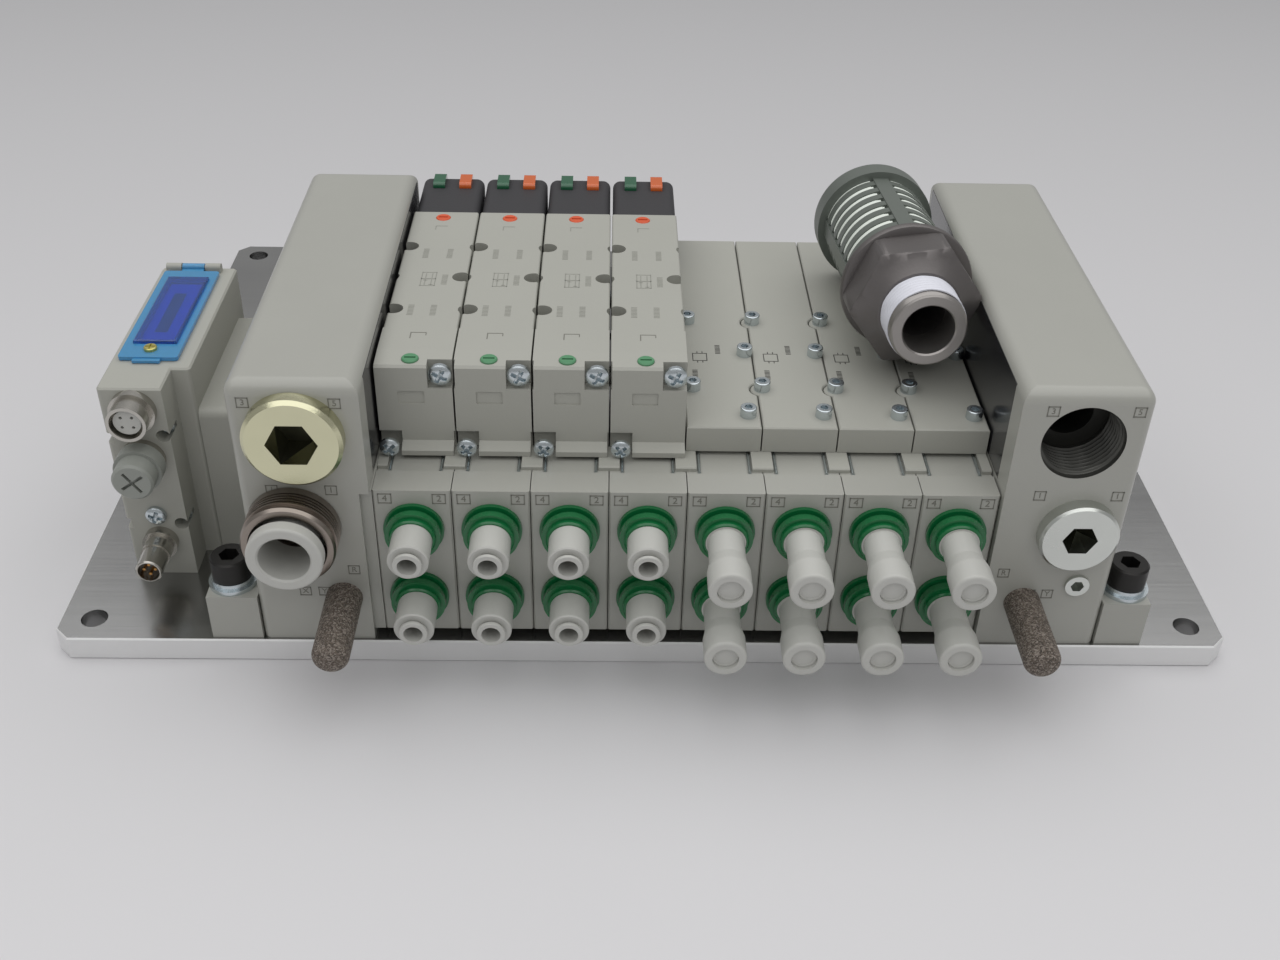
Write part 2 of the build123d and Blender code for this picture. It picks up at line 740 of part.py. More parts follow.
with BuildPart() as interface_housing:
    box_between(
        (interface_left, interface_front, plate_thickness),
        (interface_step, interface_shoulder, interface_top),
    )
    box_between(
        (interface_left, interface_shoulder, plate_thickness),
        (interface_right, interface_back, interface_top),
    )
    fillet(interface_housing.edges().filter_by(Axis.Z).sort_by(Axis.X)[:2], 1.5)
    fillet(interface_housing.edges().filter_by(Axis.Z).sort_by(Axis.X)[-2:], 1.5)
    chamfer(interface_housing.edges().group_by(Axis.Z)[-1], 0.6)
    box_between((-176.2, -84.4, 83.0), (-159.0, -39.6, interface_top), mode=Mode.SUBTRACT)
    for notch_z in (66.5, 44.5, 31.0):
        box_between(
            (interface_left - 1.0, interface_front - 1.0, notch_z - 2.0),
            (interface_left + 2.2, interface_front + 5.0, notch_z + 2.0),
            mode=Mode.SUBTRACT,
        )
    for recess_z in (67.5, 31.0):
        bored(interface_step - 2.2, recess_z, 2.4, interface_front, interface_front + 9.0)
    bored(connector_x, socket_z, 5.6, interface_front, interface_front + 6.0)
    bored(connector_x, cap_z, 5.6, interface_front, interface_front + 6.0)
    bored(connector_x, male_z, 4.4, interface_front, interface_front + 6.0)
    bored(connector_x, earth_screw_z, 1.9, interface_front, interface_front + 8.0)
    with BuildSketch(Plane.XY.offset(interface_top - 3.0)):
        with Locations(lid_screw_xy):
            Circle(1.4)
    extrude(amount=4.0, mode=Mode.SUBTRACT)
    for lug_from, lug_to in ((lid_left, -172.4), (-163.6, lid_right)):
        box_between((lug_from, hinge_y - 1.5, interface_top), (lug_to, hinge_y + 1.5, hinge_z))
        with BuildSketch(facing_right(lug_from, hinge_y, hinge_z)):
            Circle(1.5)
        extrude(amount=lug_to - lug_from)
    with BuildSketch(facing_right(lid_left, hinge_y, hinge_z)):
        Circle(0.6)
    extrude(amount=lid_right - lid_left)

with BuildPart() as window_lid:
    box_between((lid_left, lid_front, lid_bottom), (lid_right, hinge_y - 2.9, lid_bottom + 1.3))
    fillet(window_lid.edges().filter_by(Axis.Z), 1.2)
    box_between((-175.0, -85.6, lid_bottom), (-160.2, -38.6, lid_bottom + 2.6))
    fillet(window_lid.edges().group_by(Axis.Z)[-1], 0.6)
    box_between((-173.8, -84.4, lid_bottom - 1.0), (-161.4, -39.8, lid_bottom + 1.5), mode=Mode.SUBTRACT)
    box_between((-172.8, lid_front - 1.8, lid_bottom), (-163.6, lid_front + 0.5, lid_bottom + 0.9))
    box_between((-172.0, hinge_y - 4.0, lid_bottom), (-164.0, hinge_y, lid_bottom + 1.3))
    with BuildSketch(facing_right(-172.0, hinge_y, hinge_z)):
        Circle(1.4)
    extrude(amount=8.0)
    with BuildSketch(facing_right(-173.0, hinge_y, hinge_z)):
        Circle(0.65)
    extrude(amount=10.0, mode=Mode.SUBTRACT)
    with BuildSketch(Plane.XY.offset(lid_bottom)):
        with Locations(lid_screw_xy):
            Circle(1.1)
    extrude(amount=4.0, mode=Mode.SUBTRACT)

with BuildPart() as lid_screw:
    with BuildSketch(Plane.XY.offset(lid_bottom - 2.0)):
        with Locations(lid_screw_xy):
            Circle(1.1)
    extrude(amount=3.3)
    with BuildSketch(Plane.XY.offset(lid_bottom + 1.3)):
        with Locations(lid_screw_xy):
            Circle(2.2)
    extrude(amount=1.2)
    chamfer(lid_screw.edges().group_by(Axis.Z)[-1], 0.3)
    with BuildSketch(Plane.XY.offset(lid_bottom + 1.9)):
        with Locations(lid_screw_xy):
            Rectangle(3.4, 0.6)
            Rectangle(0.6, 3.4)
    extrude(amount=1.0, mode=Mode.SUBTRACT)

with BuildPart() as display_panel:
    box_between((-176.2, -84.4, 83.0), (-159.0, -39.6, 84.6))
    box_between((-173.0, -82.0, 84.6), (-162.2, -42.0, 86.6))

with BuildPart() as junction_housing:
    box_between(
        (interface_right, interface_shoulder, plate_thickness),
        (left_outer, interface_back - 6.0, manifold_top - 0.3),
    )
    fillet(junction_housing.edges().filter_by(Axis.X).group_by(Axis.Z)[-1], 3.0)

with BuildPart() as connector_shells:
    turned(
        connector_x,
        socket_z,
        [
            (5.6, interface_front + 5.0, interface_front),
            (7.6, interface_front, interface_front - 3.0),
            (6.5, interface_front - 3.0, interface_front - 9.5),
        ],
    )
    bored(connector_x, socket_z, 5.4, interface_front - 9.5, interface_front - 3.5)
    turned(
        connector_x,
        cap_z,
        [(5.6, interface_front + 5.0, interface_front), (7.4, interface_front, interface_front - 3.0)],
    )
    turned(
        connector_x,
        male_z,
        [
            (4.4, interface_front + 5.0, interface_front),
            (5.9, interface_front, interface_front - 3.4),
            (4.9, interface_front - 3.4, interface_front - 9.0),
            (4.5, interface_front - 9.0, interface_front - 18.0),
        ],
    )
    bored(connector_x, male_z, 3.7, interface_front - 18.0, interface_front - 9.0)
    chamfer(connector_shells.edges().group_by(Axis.Y)[0].sort_by(SortBy.LENGTH)[-1], 0.4)

with BuildPart() as connector_inserts:
    turned(connector_x, socket_z, [(4.5, interface_front - 3.5, interface_front - 8.0)])
    for angle in range(4):
        hole_x = connector_x + 2.6 * cos(radians(45 + 90 * angle))
        hole_z = socket_z + 2.6 * sin(radians(45 + 90 * angle))
        bored(hole_x, hole_z, 0.55, interface_front - 8.0, interface_front - 4.5)
    turned(connector_x, male_z, [(3.7, interface_front - 9.0, interface_front - 11.0)])
    for angle in range(4):
        pin_x = connector_x + 1.9 * cos(radians(90 * angle))
        pin_z = male_z + 1.9 * sin(radians(90 * angle))
        turned(pin_x, pin_z, [(0.5, interface_front - 11.0, interface_front - 16.5)])

with BuildPart() as connector_cap:
    turned(
        connector_x,
        cap_z,
        [(8.0, interface_front - 3.0, interface_front - 8.5), (6.9, interface_front - 8.5, interface_front - 15.0)],
    )
    chamfer(connector_cap.edges().group_by(Axis.Y)[0], 0.8)
    for turn in (35, -55):
        with BuildSketch(facing_front(connector_x, interface_front - 15.0, cap_z)):
            Rectangle(9.0, 1.1, rotation=turn)
        extrude(amount=-1.6, mode=Mode.SUBTRACT)

with BuildPart() as interface_screws:
    turned(
        connector_x,
        earth_screw_z,
        [(1.9, interface_front + 7.0, interface_front), (3.5, interface_front, interface_front - 2.4)],
    )
    fillet(interface_screws.edges().group_by(Axis.Y)[0], 1.0)
    for recess_z in (67.5, 31.0):
        turned(interface_step - 2.2, recess_z, [(2.4, interface_front + 9.0, interface_front + 6.5)])

# ---------------------------------------------------------------- spare silencer resting on the plates
silencer_nose = (90.6, -105.5, 107.5)
silencer_yaw = 2.7
silencer_drop = 3.5
nose_radius = 12.8
nose_bore = 8.6
shoulder_at = 14.5
hex_at = 19.5
flange_at = 33.0
cage_at = 36.5
cap_at = 88.6
silencer_length = 98.6
hex_flats = 39.4
flange_radius = 22.8
cage_radius = 19.0
element_radius = 17.4
end_cap_radius = 21.6

silencer_axis = Plane(
    origin=silencer_nose,
    z_dir=(
        -sin(radians(silencer_yaw)) * cos(radians(silencer_drop)),
        cos(radians(silencer_yaw)) * cos(radians(silencer_drop)),
        -sin(radians(silencer_drop)),
    ),
)

with BuildPart() as silencer_body:
    with BuildSketch(silencer_axis):
        Circle(nose_radius)
    extrude(amount=shoulder_at)
    with BuildSketch(silencer_axis.offset(shoulder_at)):
        Circle(17.0)
    extrude(amount=hex_at - shoulder_at)
    with BuildSketch(silencer_axis.offset(hex_at)):
        RegularPolygon(hex_flats / 2, 6, major_radius=False)
    extrude(amount=flange_at - hex_at)
    with BuildSketch(silencer_axis.offset(flange_at)):
        Circle(flange_radius)
    extrude(amount=cage_at - flange_at)
    with BuildSketch(silencer_axis):
        Circle(nose_bore)
    extrude(amount=cage_at, mode=Mode.SUBTRACT)

with BuildPart() as silencer_element:
    with BuildSketch(silencer_axis.offset(cage_at)):
        Circle(element_radius)
        Circle(nose_bore, mode=Mode.SUBTRACT)
    extrude(amount=cap_at - cage_at)

slot_rows = 8
slot_pitch = 6.6
slot_width = 3.0

# The cage is made upright, then laid on the axis: a band between each pair of slots, four
# ribs that hold the bands, and a turned end cap.
rib_width = 5.6
rib_inner = 17.6
rib_outer = 19.2

with BuildPart() as upright_cage:
    for row in range(slot_rows + 1):
        band_from = cage_at if row == 0 else cage_at + 4.0 + slot_pitch * (row - 1) + slot_width
        band_to = cap_at if row == slot_rows else cage_at + 4.0 + slot_pitch * row
        with BuildSketch(Plane.XY.offset(band_from)):
            Circle(cage_radius)
            Circle(element_radius, mode=Mode.SUBTRACT)
        extrude(amount=band_to - band_from)
    with BuildSketch(Plane.XY.offset(cage_at)):
        with PolarLocations((rib_inner + rib_outer) / 2, 4):
            Rectangle(rib_outer - rib_inner, rib_width)
    extrude(amount=cap_at - cage_at)
    with BuildSketch(Plane.XZ):
        Polygon(
            (0, cap_at),
            (end_cap_radius, cap_at),
            (end_cap_radius, silencer_length - 1.5),
            (end_cap_radius - 1.5, silencer_length),
            (0, silencer_length),
            align=None,
        )
    revolve(axis=Axis.Z)

with BuildPart() as silencer_cage:
    with Locations(silencer_axis.location):
        add(upright_cage.part)

# ---------------------------------------------------------------- labels and files
named = {
    "mounting_plate": mounting_plate,
    "left_end_block": left_end_block,
    "right_end_block": right_end_block,
    "left_seal_plate": left_seal_plate,
    "inner_side_plates": inner_side_plates,
    "tie_rods": tie_rods,
    "foot_bolts": foot_bolts,
    "foot_washers": foot_washers,
    "left_exhaust_plug": left_exhaust_plug,
    "right_blanking_plugs": right_blanking_plugs,
    "supply_fitting_body": supply_fitting_body,
    "supply_release_ring": supply_release_ring,
    "breather_filters": breather_filters,
    "manifold_blocks": manifold_blocks,
    "valve_gaskets": valve_gaskets,
    "port_collars": port_collars,
    "fitting_bodies": fitting_bodies,
    "tube_plugs": tube_plugs,
    "retaining_clips": retaining_clips,
    "clip_tabs": clip_tabs,
    "valve_end_covers": valve_end_covers,
    "valve_spools": valve_spools,
    "pilot_covers": pilot_covers,
    "indicator_lenses": indicator_lenses,
    "valve_screws": valve_screws,
    "blanking_plates": blanking_plates,
    "blanking_screws": blanking_screws,
    "interface_housing": interface_housing,
    "window_lid": window_lid,
    "lid_screw": lid_screw,
    "display_panel": display_panel,
    "junction_housing": junction_housing,
    "connector_shells": connector_shells,
    "connector_inserts": connector_inserts,
    "connector_cap": connector_cap,
    "interface_screws": interface_screws,
    "silencer_body": silencer_body,
    "silencer_element": silencer_element,
    "silencer_cage": silencer_cage,
}
for number, valve_body in enumerate(valve_bodies, start=1):
    named[f"valve_body_{number}"] = valve_body
for number, release_ring in enumerate(release_rings, start=1):
    named[f"release_ring_{number}"] = release_ring
for number, override in enumerate(front_overrides, start=1):
    named[f"front_override_{number}"] = override
for number, override in enumerate(rear_overrides, start=1):
    named[f"rear_override_{number}"] = override

for name, piece in named.items():
    piece.part.label = name
    export_step(piece.part, f"parts/{name}.step")
print(len(named), "parts written")
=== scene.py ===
# %% [markdown]
# # A pneumatic valve island
# The island is a row of air valves on a flat aluminium plate. The solid model gives
# every piece its shape and place. These cells add what a solid model leaves out: the
# paint, resin, zinc and sintered bronze, the threads, the screw recesses and the marks.
# Everything is in metres, in the solid model's own frame.

# %% Load the frame
import json
from math import cos, pi, radians, sin

import bmesh
import bpy
import numpy as np
from mathutils import Matrix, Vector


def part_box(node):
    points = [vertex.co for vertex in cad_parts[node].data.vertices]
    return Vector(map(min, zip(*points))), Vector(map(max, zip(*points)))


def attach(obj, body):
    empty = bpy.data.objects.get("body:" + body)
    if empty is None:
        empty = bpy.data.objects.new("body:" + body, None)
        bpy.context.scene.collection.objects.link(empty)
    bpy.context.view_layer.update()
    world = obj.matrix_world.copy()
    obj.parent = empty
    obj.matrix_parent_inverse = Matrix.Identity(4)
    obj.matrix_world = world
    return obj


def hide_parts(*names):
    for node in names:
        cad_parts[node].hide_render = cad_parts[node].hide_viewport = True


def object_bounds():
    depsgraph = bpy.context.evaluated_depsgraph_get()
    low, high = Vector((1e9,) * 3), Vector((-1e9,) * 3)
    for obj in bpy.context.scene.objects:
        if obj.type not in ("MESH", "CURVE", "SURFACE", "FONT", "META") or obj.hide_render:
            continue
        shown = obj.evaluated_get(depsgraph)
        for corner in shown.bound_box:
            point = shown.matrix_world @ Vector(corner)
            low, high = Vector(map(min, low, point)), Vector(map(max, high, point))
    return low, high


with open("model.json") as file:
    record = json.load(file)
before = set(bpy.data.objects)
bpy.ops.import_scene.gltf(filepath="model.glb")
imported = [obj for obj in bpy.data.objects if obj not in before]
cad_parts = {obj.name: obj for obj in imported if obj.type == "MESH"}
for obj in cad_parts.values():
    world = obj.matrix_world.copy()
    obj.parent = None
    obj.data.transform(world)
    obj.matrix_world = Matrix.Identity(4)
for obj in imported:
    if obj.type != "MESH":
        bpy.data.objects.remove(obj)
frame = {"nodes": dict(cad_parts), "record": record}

cad_low, cad_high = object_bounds()
nodes = frame["nodes"]
MM = 0.001
print("nodes:", len(nodes), "size in mm:", [round(v / MM, 1) for v in cad_high - cad_low])

# %% [markdown]
# ## The row of stations
# Eight equal stations stand side by side, 25 mm apart. The middle of the row and the
# port heights are read from the boxes of the blocks and collars, so a mark lands on its
# own station.

# %% Find the stations and ports
blocks_low, blocks_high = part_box("manifold_blocks")
collars_low, collars_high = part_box("port_collars")
station_count = 8
valve_count = 4
station_pitch = 25 * MM
bank_middle = (blocks_low.x + blocks_high.x) / 2
station_x = bank_middle + station_pitch * (np.arange(station_count) - (station_count - 1) / 2)
valve_x = station_x[:valve_count]
collar_radius = 9.75 * MM
upper_port_z = collars_high.z - collar_radius
lower_port_z = collars_low.z + collar_radius
front_face_y = blocks_low.y
print("station centres in mm:", np.round(station_x / MM, 1))

# %% [markdown]
# ## The camera
# It looks down on the front of the island from about half a metre away. Its direction
# is built from three plain angles, then written as the columns of a matrix: right, up
# and backwards. That is shorter and more exact than aiming an empty.

# %% Place the camera
camera_place = (-0.01323, -0.50873, 0.33485)
camera_down = radians(35.52)
camera_turn = radians(1.58)
camera_roll = radians(1.48)


def matrix_of(*columns):
    """Right, up, back and place as the four columns of a placing matrix."""
    rows = [[float(column[row]) for column in columns] for row in range(3)]
    return Matrix([*rows, [0, 0, 0, 1]])


forward = np.array(
    [sin(camera_turn) * cos(camera_down), cos(camera_turn) * cos(camera_down), -sin(camera_down)]
)
level_right = np.array([cos(camera_turn), -sin(camera_turn), 0.0])
level_up = np.cross(level_right, forward)
right = level_right * cos(camera_roll) + level_up * sin(camera_roll)
up = -level_right * sin(camera_roll) + level_up * cos(camera_roll)

camera_data = bpy.data.cameras.new("camera")
camera_data.sensor_width = 36.0
camera_data.lens = 40.07
camera_data.clip_start = 0.01
camera = bpy.data.objects.new("camera", camera_data)
bpy.context.scene.collection.objects.link(camera)
camera.matrix_world = matrix_of(right, up, -forward, camera_place)
bpy.context.scene.camera = camera
bpy.context.scene.view_settings.view_transform = "Standard"
print("camera looks along", np.round(forward, 3))


# %% [markdown]
# ## Helpers for node trees
# Each finish is a small tree of nodes. Three helpers keep the cells short: one turns a
# screen colour into light, one adds a node and sets its values, and one makes a material
# with its Principled shader ready.

# %% Node helpers
def tone(red, green, blue):
    """A screen colour, 0 to 255 a channel, as linear light: ((c + 0.055) / 1.055) ** 2.4."""
    channels = np.array([red, green, blue]) / 255
    linear = np.where(channels > 0.04045, ((channels + 0.055) / 1.055) ** 2.4, channels / 12.92)
    return (*[float(v) for v in linear], 1.0)


def add_node(tree, kind, **values):
    """Add one node; a value named after a node's property sets it, any other sets a socket."""
    node = tree.nodes.new(kind)
    for key, value in values.items():
        if hasattr(node, key):
            setattr(node, key, value)
        else:
            node.inputs[key.replace("_", " ").title()].default_value = value
    return node


def new_material(name):
    """A material with one Principled shader; returns the material, its tree and shader."""
    material = bpy.data.materials.new(name)
    material.use_nodes = True
    tree = material.node_tree
    return material, tree, tree.nodes["Principled BSDF"]


print("mid grey as linear light:", round(tone(128, 128, 128)[0], 3))

# %% [markdown]
# ## A shared grain
# Paint and moulded resin are never one flat colour. A soft, slow noise moves the colour
# and the roughness a little up and down, and a fine noise raises a grain of a
# millimetre or so. One group does both, and every finish sets its own sizes.

# %% Build the grain group
def build_grain_group():
    """Colour and roughness times (1 + mottle * (slow noise - 0.5)); height is the fine noise."""
    group = bpy.data.node_groups.new("surface_grain", "ShaderNodeTree")
    for name, kind, start in (
        ("Color", "NodeSocketColor", (0.5, 0.5, 0.5, 1)),
        ("Mottle", "NodeSocketFloat", 0.1),
        ("Mottle Scale", "NodeSocketFloat", 30.0),
        ("Grain Scale", "NodeSocketFloat", 1500.0),
        ("Roughness", "NodeSocketFloat", 0.5),
    ):
        socket = group.interface.new_socket(name, in_out="INPUT", socket_type=kind)
        socket.default_value = start
    for name, kind in (
        ("Color", "NodeSocketColor"),
        ("Height", "NodeSocketFloat"),
        ("Roughness", "NodeSocketFloat"),
    ):
        group.interface.new_socket(name, in_out="OUTPUT", socket_type=kind)
    given = group.nodes.new("NodeGroupInput")
    result = group.nodes.new("NodeGroupOutput")
    place = add_node(group, "ShaderNodeTexCoord")
    slow = add_node(group, "ShaderNodeTexNoise", detail=4.0, roughness=0.6)
    fine = add_node(group, "ShaderNodeTexNoise", detail=2.0, roughness=0.5)
    signed = add_node(group, "ShaderNodeMath", operation="SUBTRACT")
    signed.inputs[1].default_value = 0.5
    swing = add_node(group, "ShaderNodeMath", operation="MULTIPLY_ADD")
    swing.inputs[2].default_value = 1.0
    shade = add_node(group, "ShaderNodeVectorMath", operation="SCALE")
    rough = add_node(group, "ShaderNodeMath", operation="MULTIPLY")
    link = group.links.new
    link(place.outputs["Object"], slow.inputs["Vector"])
    link(place.outputs["Object"], fine.inputs["Vector"])
    link(given.outputs["Mottle Scale"], slow.inputs["Scale"])
    link(given.outputs["Grain Scale"], fine.inputs["Scale"])
    link(slow.outputs["Fac"], signed.inputs[0])
    link(signed.outputs[0], swing.inputs[0])
    link(given.outputs["Mottle"], swing.inputs[1])
    link(given.outputs["Color"], shade.inputs[0])
    link(swing.outputs[0], shade.inputs["Scale"])
    link(given.outputs["Roughness"], rough.inputs[0])
    link(swing.outputs[0], rough.inputs[1])
    link(shade.outputs["Vector"], result.inputs["Color"])
    link(fine.outputs["Fac"], result.inputs["Height"])
    link(rough.outputs[0], result.inputs["Roughness"])
    return group


grain_group = build_grain_group()
grain_inputs = [s.name for s in grain_group.interface.items_tree if s.in_out == "INPUT"]
print("grain group inputs:", grain_inputs)


# %% [markdown]
# ## One maker for every plain finish
# A finish is a colour, a gloss, how metallic it is, and how coarse its grain is. The
# grain drives the colour, the roughness and a Bump node. Constant values go straight
# onto the shader's own sockets.

# %% Make a finish
def make_finish(
    name, colour, roughness, metallic=0.0, grain=1500.0, bump=0.04, mottle=0.12, coat=0.0
):
    """A material whose colour and roughness swing with slow noise; its bump is fine noise."""
    material, tree, shader = new_material(name)
    shader.inputs["Metallic"].default_value = metallic
    shader.inputs["Coat Weight"].default_value = coat
    shader.inputs["Coat Roughness"].default_value = 0.15
    group = tree.nodes.new("ShaderNodeGroup")
    group.node_tree = grain_group
    group.inputs["Color"].default_value = colour
    group.inputs["Mottle"].default_value = mottle
    group.inputs["Mottle Scale"].default_value = 30.0
    group.inputs["Grain Scale"].default_value = grain
    group.inputs["Roughness"].default_value = roughness
    relief = add_node(tree, "ShaderNodeBump", strength=bump)
    relief.inputs["Distance"].default_value = 0.2 * MM
    tree.links.new(group.outputs["Color"], shader.inputs["Base Color"])
    tree.links.new(group.outputs["Roughness"], shader.inputs["Roughness"])
    tree.links.new(group.outputs["Height"], relief.inputs["Height"])
    tree.links.new(relief.outputs["Normal"], shader.inputs["Normal"])
    return material


print("metallic, grain, bump, mottle and coat unless given:", make_finish.__defaults__)

# %% [markdown]
# ## Paint and resin
# The end blocks and manifold are cast and painted a warm light grey. Valves, covers and
# the interface unit are moulded in nearly the same grey, a touch warmer and duller.

# %% Paints and resins
finishes = {
    "beige_paint": make_finish(
        "warm_grey_paint", tone(167, 167, 160), 0.34, grain=900, bump=0.1, mottle=0.07, coat=0.2
    ),
    "beige_resin": make_finish(
        "warm_grey_resin", tone(169, 169, 161), 0.5, grain=1400, bump=0.12, mottle=0.06
    ),
    "black_gloss": make_finish(
        "black_glossy_cover", tone(34, 34, 37), 0.2, bump=0.02, mottle=0.2, coat=0.4
    ),
    "dark_resin": make_finish(
        "dark_grey_cap", tone(52, 51, 54), 0.6, grain=1200, bump=0.25, mottle=0.1
    ),
    "white_resin": make_finish("white_resin", tone(190, 190, 185), 0.36, bump=0.05, mottle=0.06),
    "green_resin": make_finish(
        "green_collar_resin", tone(14, 104, 56), 0.26, bump=0.05, mottle=0.16, coat=0.3
    ),
    "orange_resin": make_finish(
        "orange_button_resin", tone(214, 88, 48), 0.35, bump=0.03, mottle=0.06
    ),
    "bright_green_resin": make_finish(
        "green_button_resin", tone(84, 142, 102), 0.35, bump=0.03, mottle=0.06
    ),
    "green_lens": make_finish(
        "green_lens", tone(14, 88, 56), 0.2, bump=0.02, mottle=0.1, coat=0.6
    ),
    "grey_resin": make_finish("grey_cap_resin", tone(146, 149, 143), 0.45, bump=0.08, mottle=0.08),
    "black_rubber": make_finish("black_rubber", tone(38, 38, 38), 0.7, bump=0.2),
    "blue_panel": make_finish("blue_panel", tone(44, 96, 232), 0.25, bump=0.02, coat=0.5),
    "white_element": make_finish(
        "white_porous_resin", tone(232, 238, 230), 0.8, grain=1800, bump=0.5, mottle=0.1
    ),
}
orange_lens = make_finish(
    "orange_lens", tone(206, 94, 28), 0.2, bump=0.02, mottle=0.1, coat=0.6
)
mark_paint = make_finish("mark_edge", tone(118, 117, 109), 0.55, bump=0.05)
faint_print = make_finish("faint_print", tone(144, 144, 136), 0.55, bump=0.02)
black_print = make_finish("black_print", tone(50, 49, 46), 0.5, bump=0.02)
display_strip = make_finish("display_strip", tone(44, 56, 92), 0.3, bump=0.02, coat=0.4)
tape_white = make_finish(
    "thread_tape", tone(226, 227, 236), 0.5, grain=700, bump=0.2, mottle=0.05
)
print("finishes by slot so far:", len(finishes))

# %% [markdown]
# ## Metals
# Zinc plating is bright with a faint blue cast, nickel on brass is warmer, and the
# silencer is a dark die casting. Metal shows what is around it, so roughness does most
# of the work and the mottle keeps large faces from looking like plastic.

# %% Metals
finishes.update(
    {
        "black_steel": make_finish(
            "black_oxide_steel", tone(52, 51, 50), 0.38, 0.75, bump=0.12, mottle=0.2
        ),
        "zinc_steel": make_finish(
            "bright_zinc", tone(206, 214, 218), 0.26, 1.0, bump=0.06, mottle=0.2
        ),
        "yellow_zinc": make_finish(
            "yellow_zinc", tone(216, 214, 182), 0.24, 1.0, bump=0.15, mottle=0.3
        ),
        "white_zinc": make_finish(
            "clear_zinc", tone(212, 215, 210), 0.28, 1.0, bump=0.08, mottle=0.2
        ),
        "nickel_brass": make_finish(
            "nickel_on_brass", tone(192, 189, 182), 0.24, 1.0, bump=0.05, mottle=0.15
        ),
        "brass_screw": make_finish("passivated_brass", tone(205, 196, 120), 0.35, 0.9, bump=0.08),
        "spool_aluminium": make_finish("ground_aluminium", tone(190, 190, 190), 0.3, 1.0),
        "dark_cast_metal": make_finish(
            "dark_die_casting", tone(112, 108, 107), 0.42, 0.6, grain=700, bump=0.25, mottle=0.16
        ),
        "grey_painted_metal": make_finish(
            "grey_painted_cage", tone(112, 118, 112), 0.42, 0.35, grain=900, bump=0.12
        ),
    }
)
bare_nose_metal = make_finish("turned_nose_metal", tone(158, 154, 151), 0.34, 0.8, bump=0.1)
# The sawn edge is matte and less metallic; its near-white colour is also a painted reflection of
# the lit table in front.
sawn_edge_and_painted_reflection = make_finish(
    "sawn_plate_edge_painted_reflection", tone(232, 232, 232), 0.5, 0.3, grain=500, bump=0.2, mottle=0.1
)
dark_nickel = make_finish("dark_nickel", tone(150, 141, 133), 0.3, 1.0, bump=0.05, mottle=0.2)
gold_pin = make_finish("gold_pin", tone(200, 150, 90), 0.3, 1.0, bump=0.02)
port_metal = make_finish("port_machined_face", tone(84, 84, 80), 0.4, 0.5, bump=0.1)
# Painted shade: the plugs' key sockets get a darker zinc, standing in for the shade inside the
# recesses.
painted_shade_socket = make_finish("painted_shade_key_socket", tone(96, 96, 84), 0.35, 0.9, bump=0.1, mottle=0.3)
print("finishes by slot so far:", sorted(finishes))

# %% [markdown]
# ## The milled plate
# The plate is rolled and milled aluminium. Its fine lines run from left to right, so the
# grain is a noise stretched along X by a Mapping node. The same noise moves the
# roughness, which makes the soft streaks in the plate's reflections.

# %% Milled aluminium
def make_milled_plate():
    """Noise at (18, 900, 900) per metre: long in X, fine in Y and Z, into roughness and bump."""
    material, tree, shader = new_material("milled_aluminium")
    shader.inputs["Metallic"].default_value = 1.0
    place = add_node(tree, "ShaderNodeTexCoord")
    stretch = add_node(tree, "ShaderNodeMapping")
    stretch.inputs["Scale"].default_value = (0.02, 1.0, 1.0)
    lines = add_node(tree, "ShaderNodeTexNoise", scale=900.0, detail=3.0)
    clouds = add_node(tree, "ShaderNodeTexNoise", scale=9.0, detail=5.0)
    colours = add_node(tree, "ShaderNodeValToRGB")
    colours.color_ramp.elements[0].position = 0.3
    colours.color_ramp.elements[0].color = tone(166, 166, 166)
    colours.color_ramp.elements[1].position = 0.75
    colours.color_ramp.elements[1].color = tone(194, 194, 193)
    rough = add_node(tree, "ShaderNodeMapRange")
    rough.inputs["To Min"].default_value = 0.17
    rough.inputs["To Max"].default_value = 0.3
    relief = add_node(tree, "ShaderNodeBump", strength=0.06)
    relief.inputs["Distance"].default_value = 0.1 * MM
    link = tree.links.new
    link(place.outputs["Object"], stretch.inputs["Vector"])
    link(stretch.outputs["Vector"], lines.inputs["Vector"])
    link(place.outputs["Object"], clouds.inputs["Vector"])
    link(clouds.outputs["Fac"], colours.inputs["Fac"])
    link(colours.outputs["Color"], shader.inputs["Base Color"])
    link(lines.outputs["Fac"], rough.inputs["Value"])
    link(rough.outputs["Result"], shader.inputs["Roughness"])
    link(lines.outputs["Fac"], relief.inputs["Height"])
    link(relief.outputs["Normal"], shader.inputs["Normal"])
    return material


finishes["milled_aluminium"] = make_milled_plate()
print("made:", finishes["milled_aluminium"].name)

# %% [markdown]
# ## Sintered bronze
# The breathers are tiny balls of bronze fused together. A Voronoi texture with cells of
# about half a millimetre gives each ball its own shade, and its distance field rounds
# each one off in the bump.

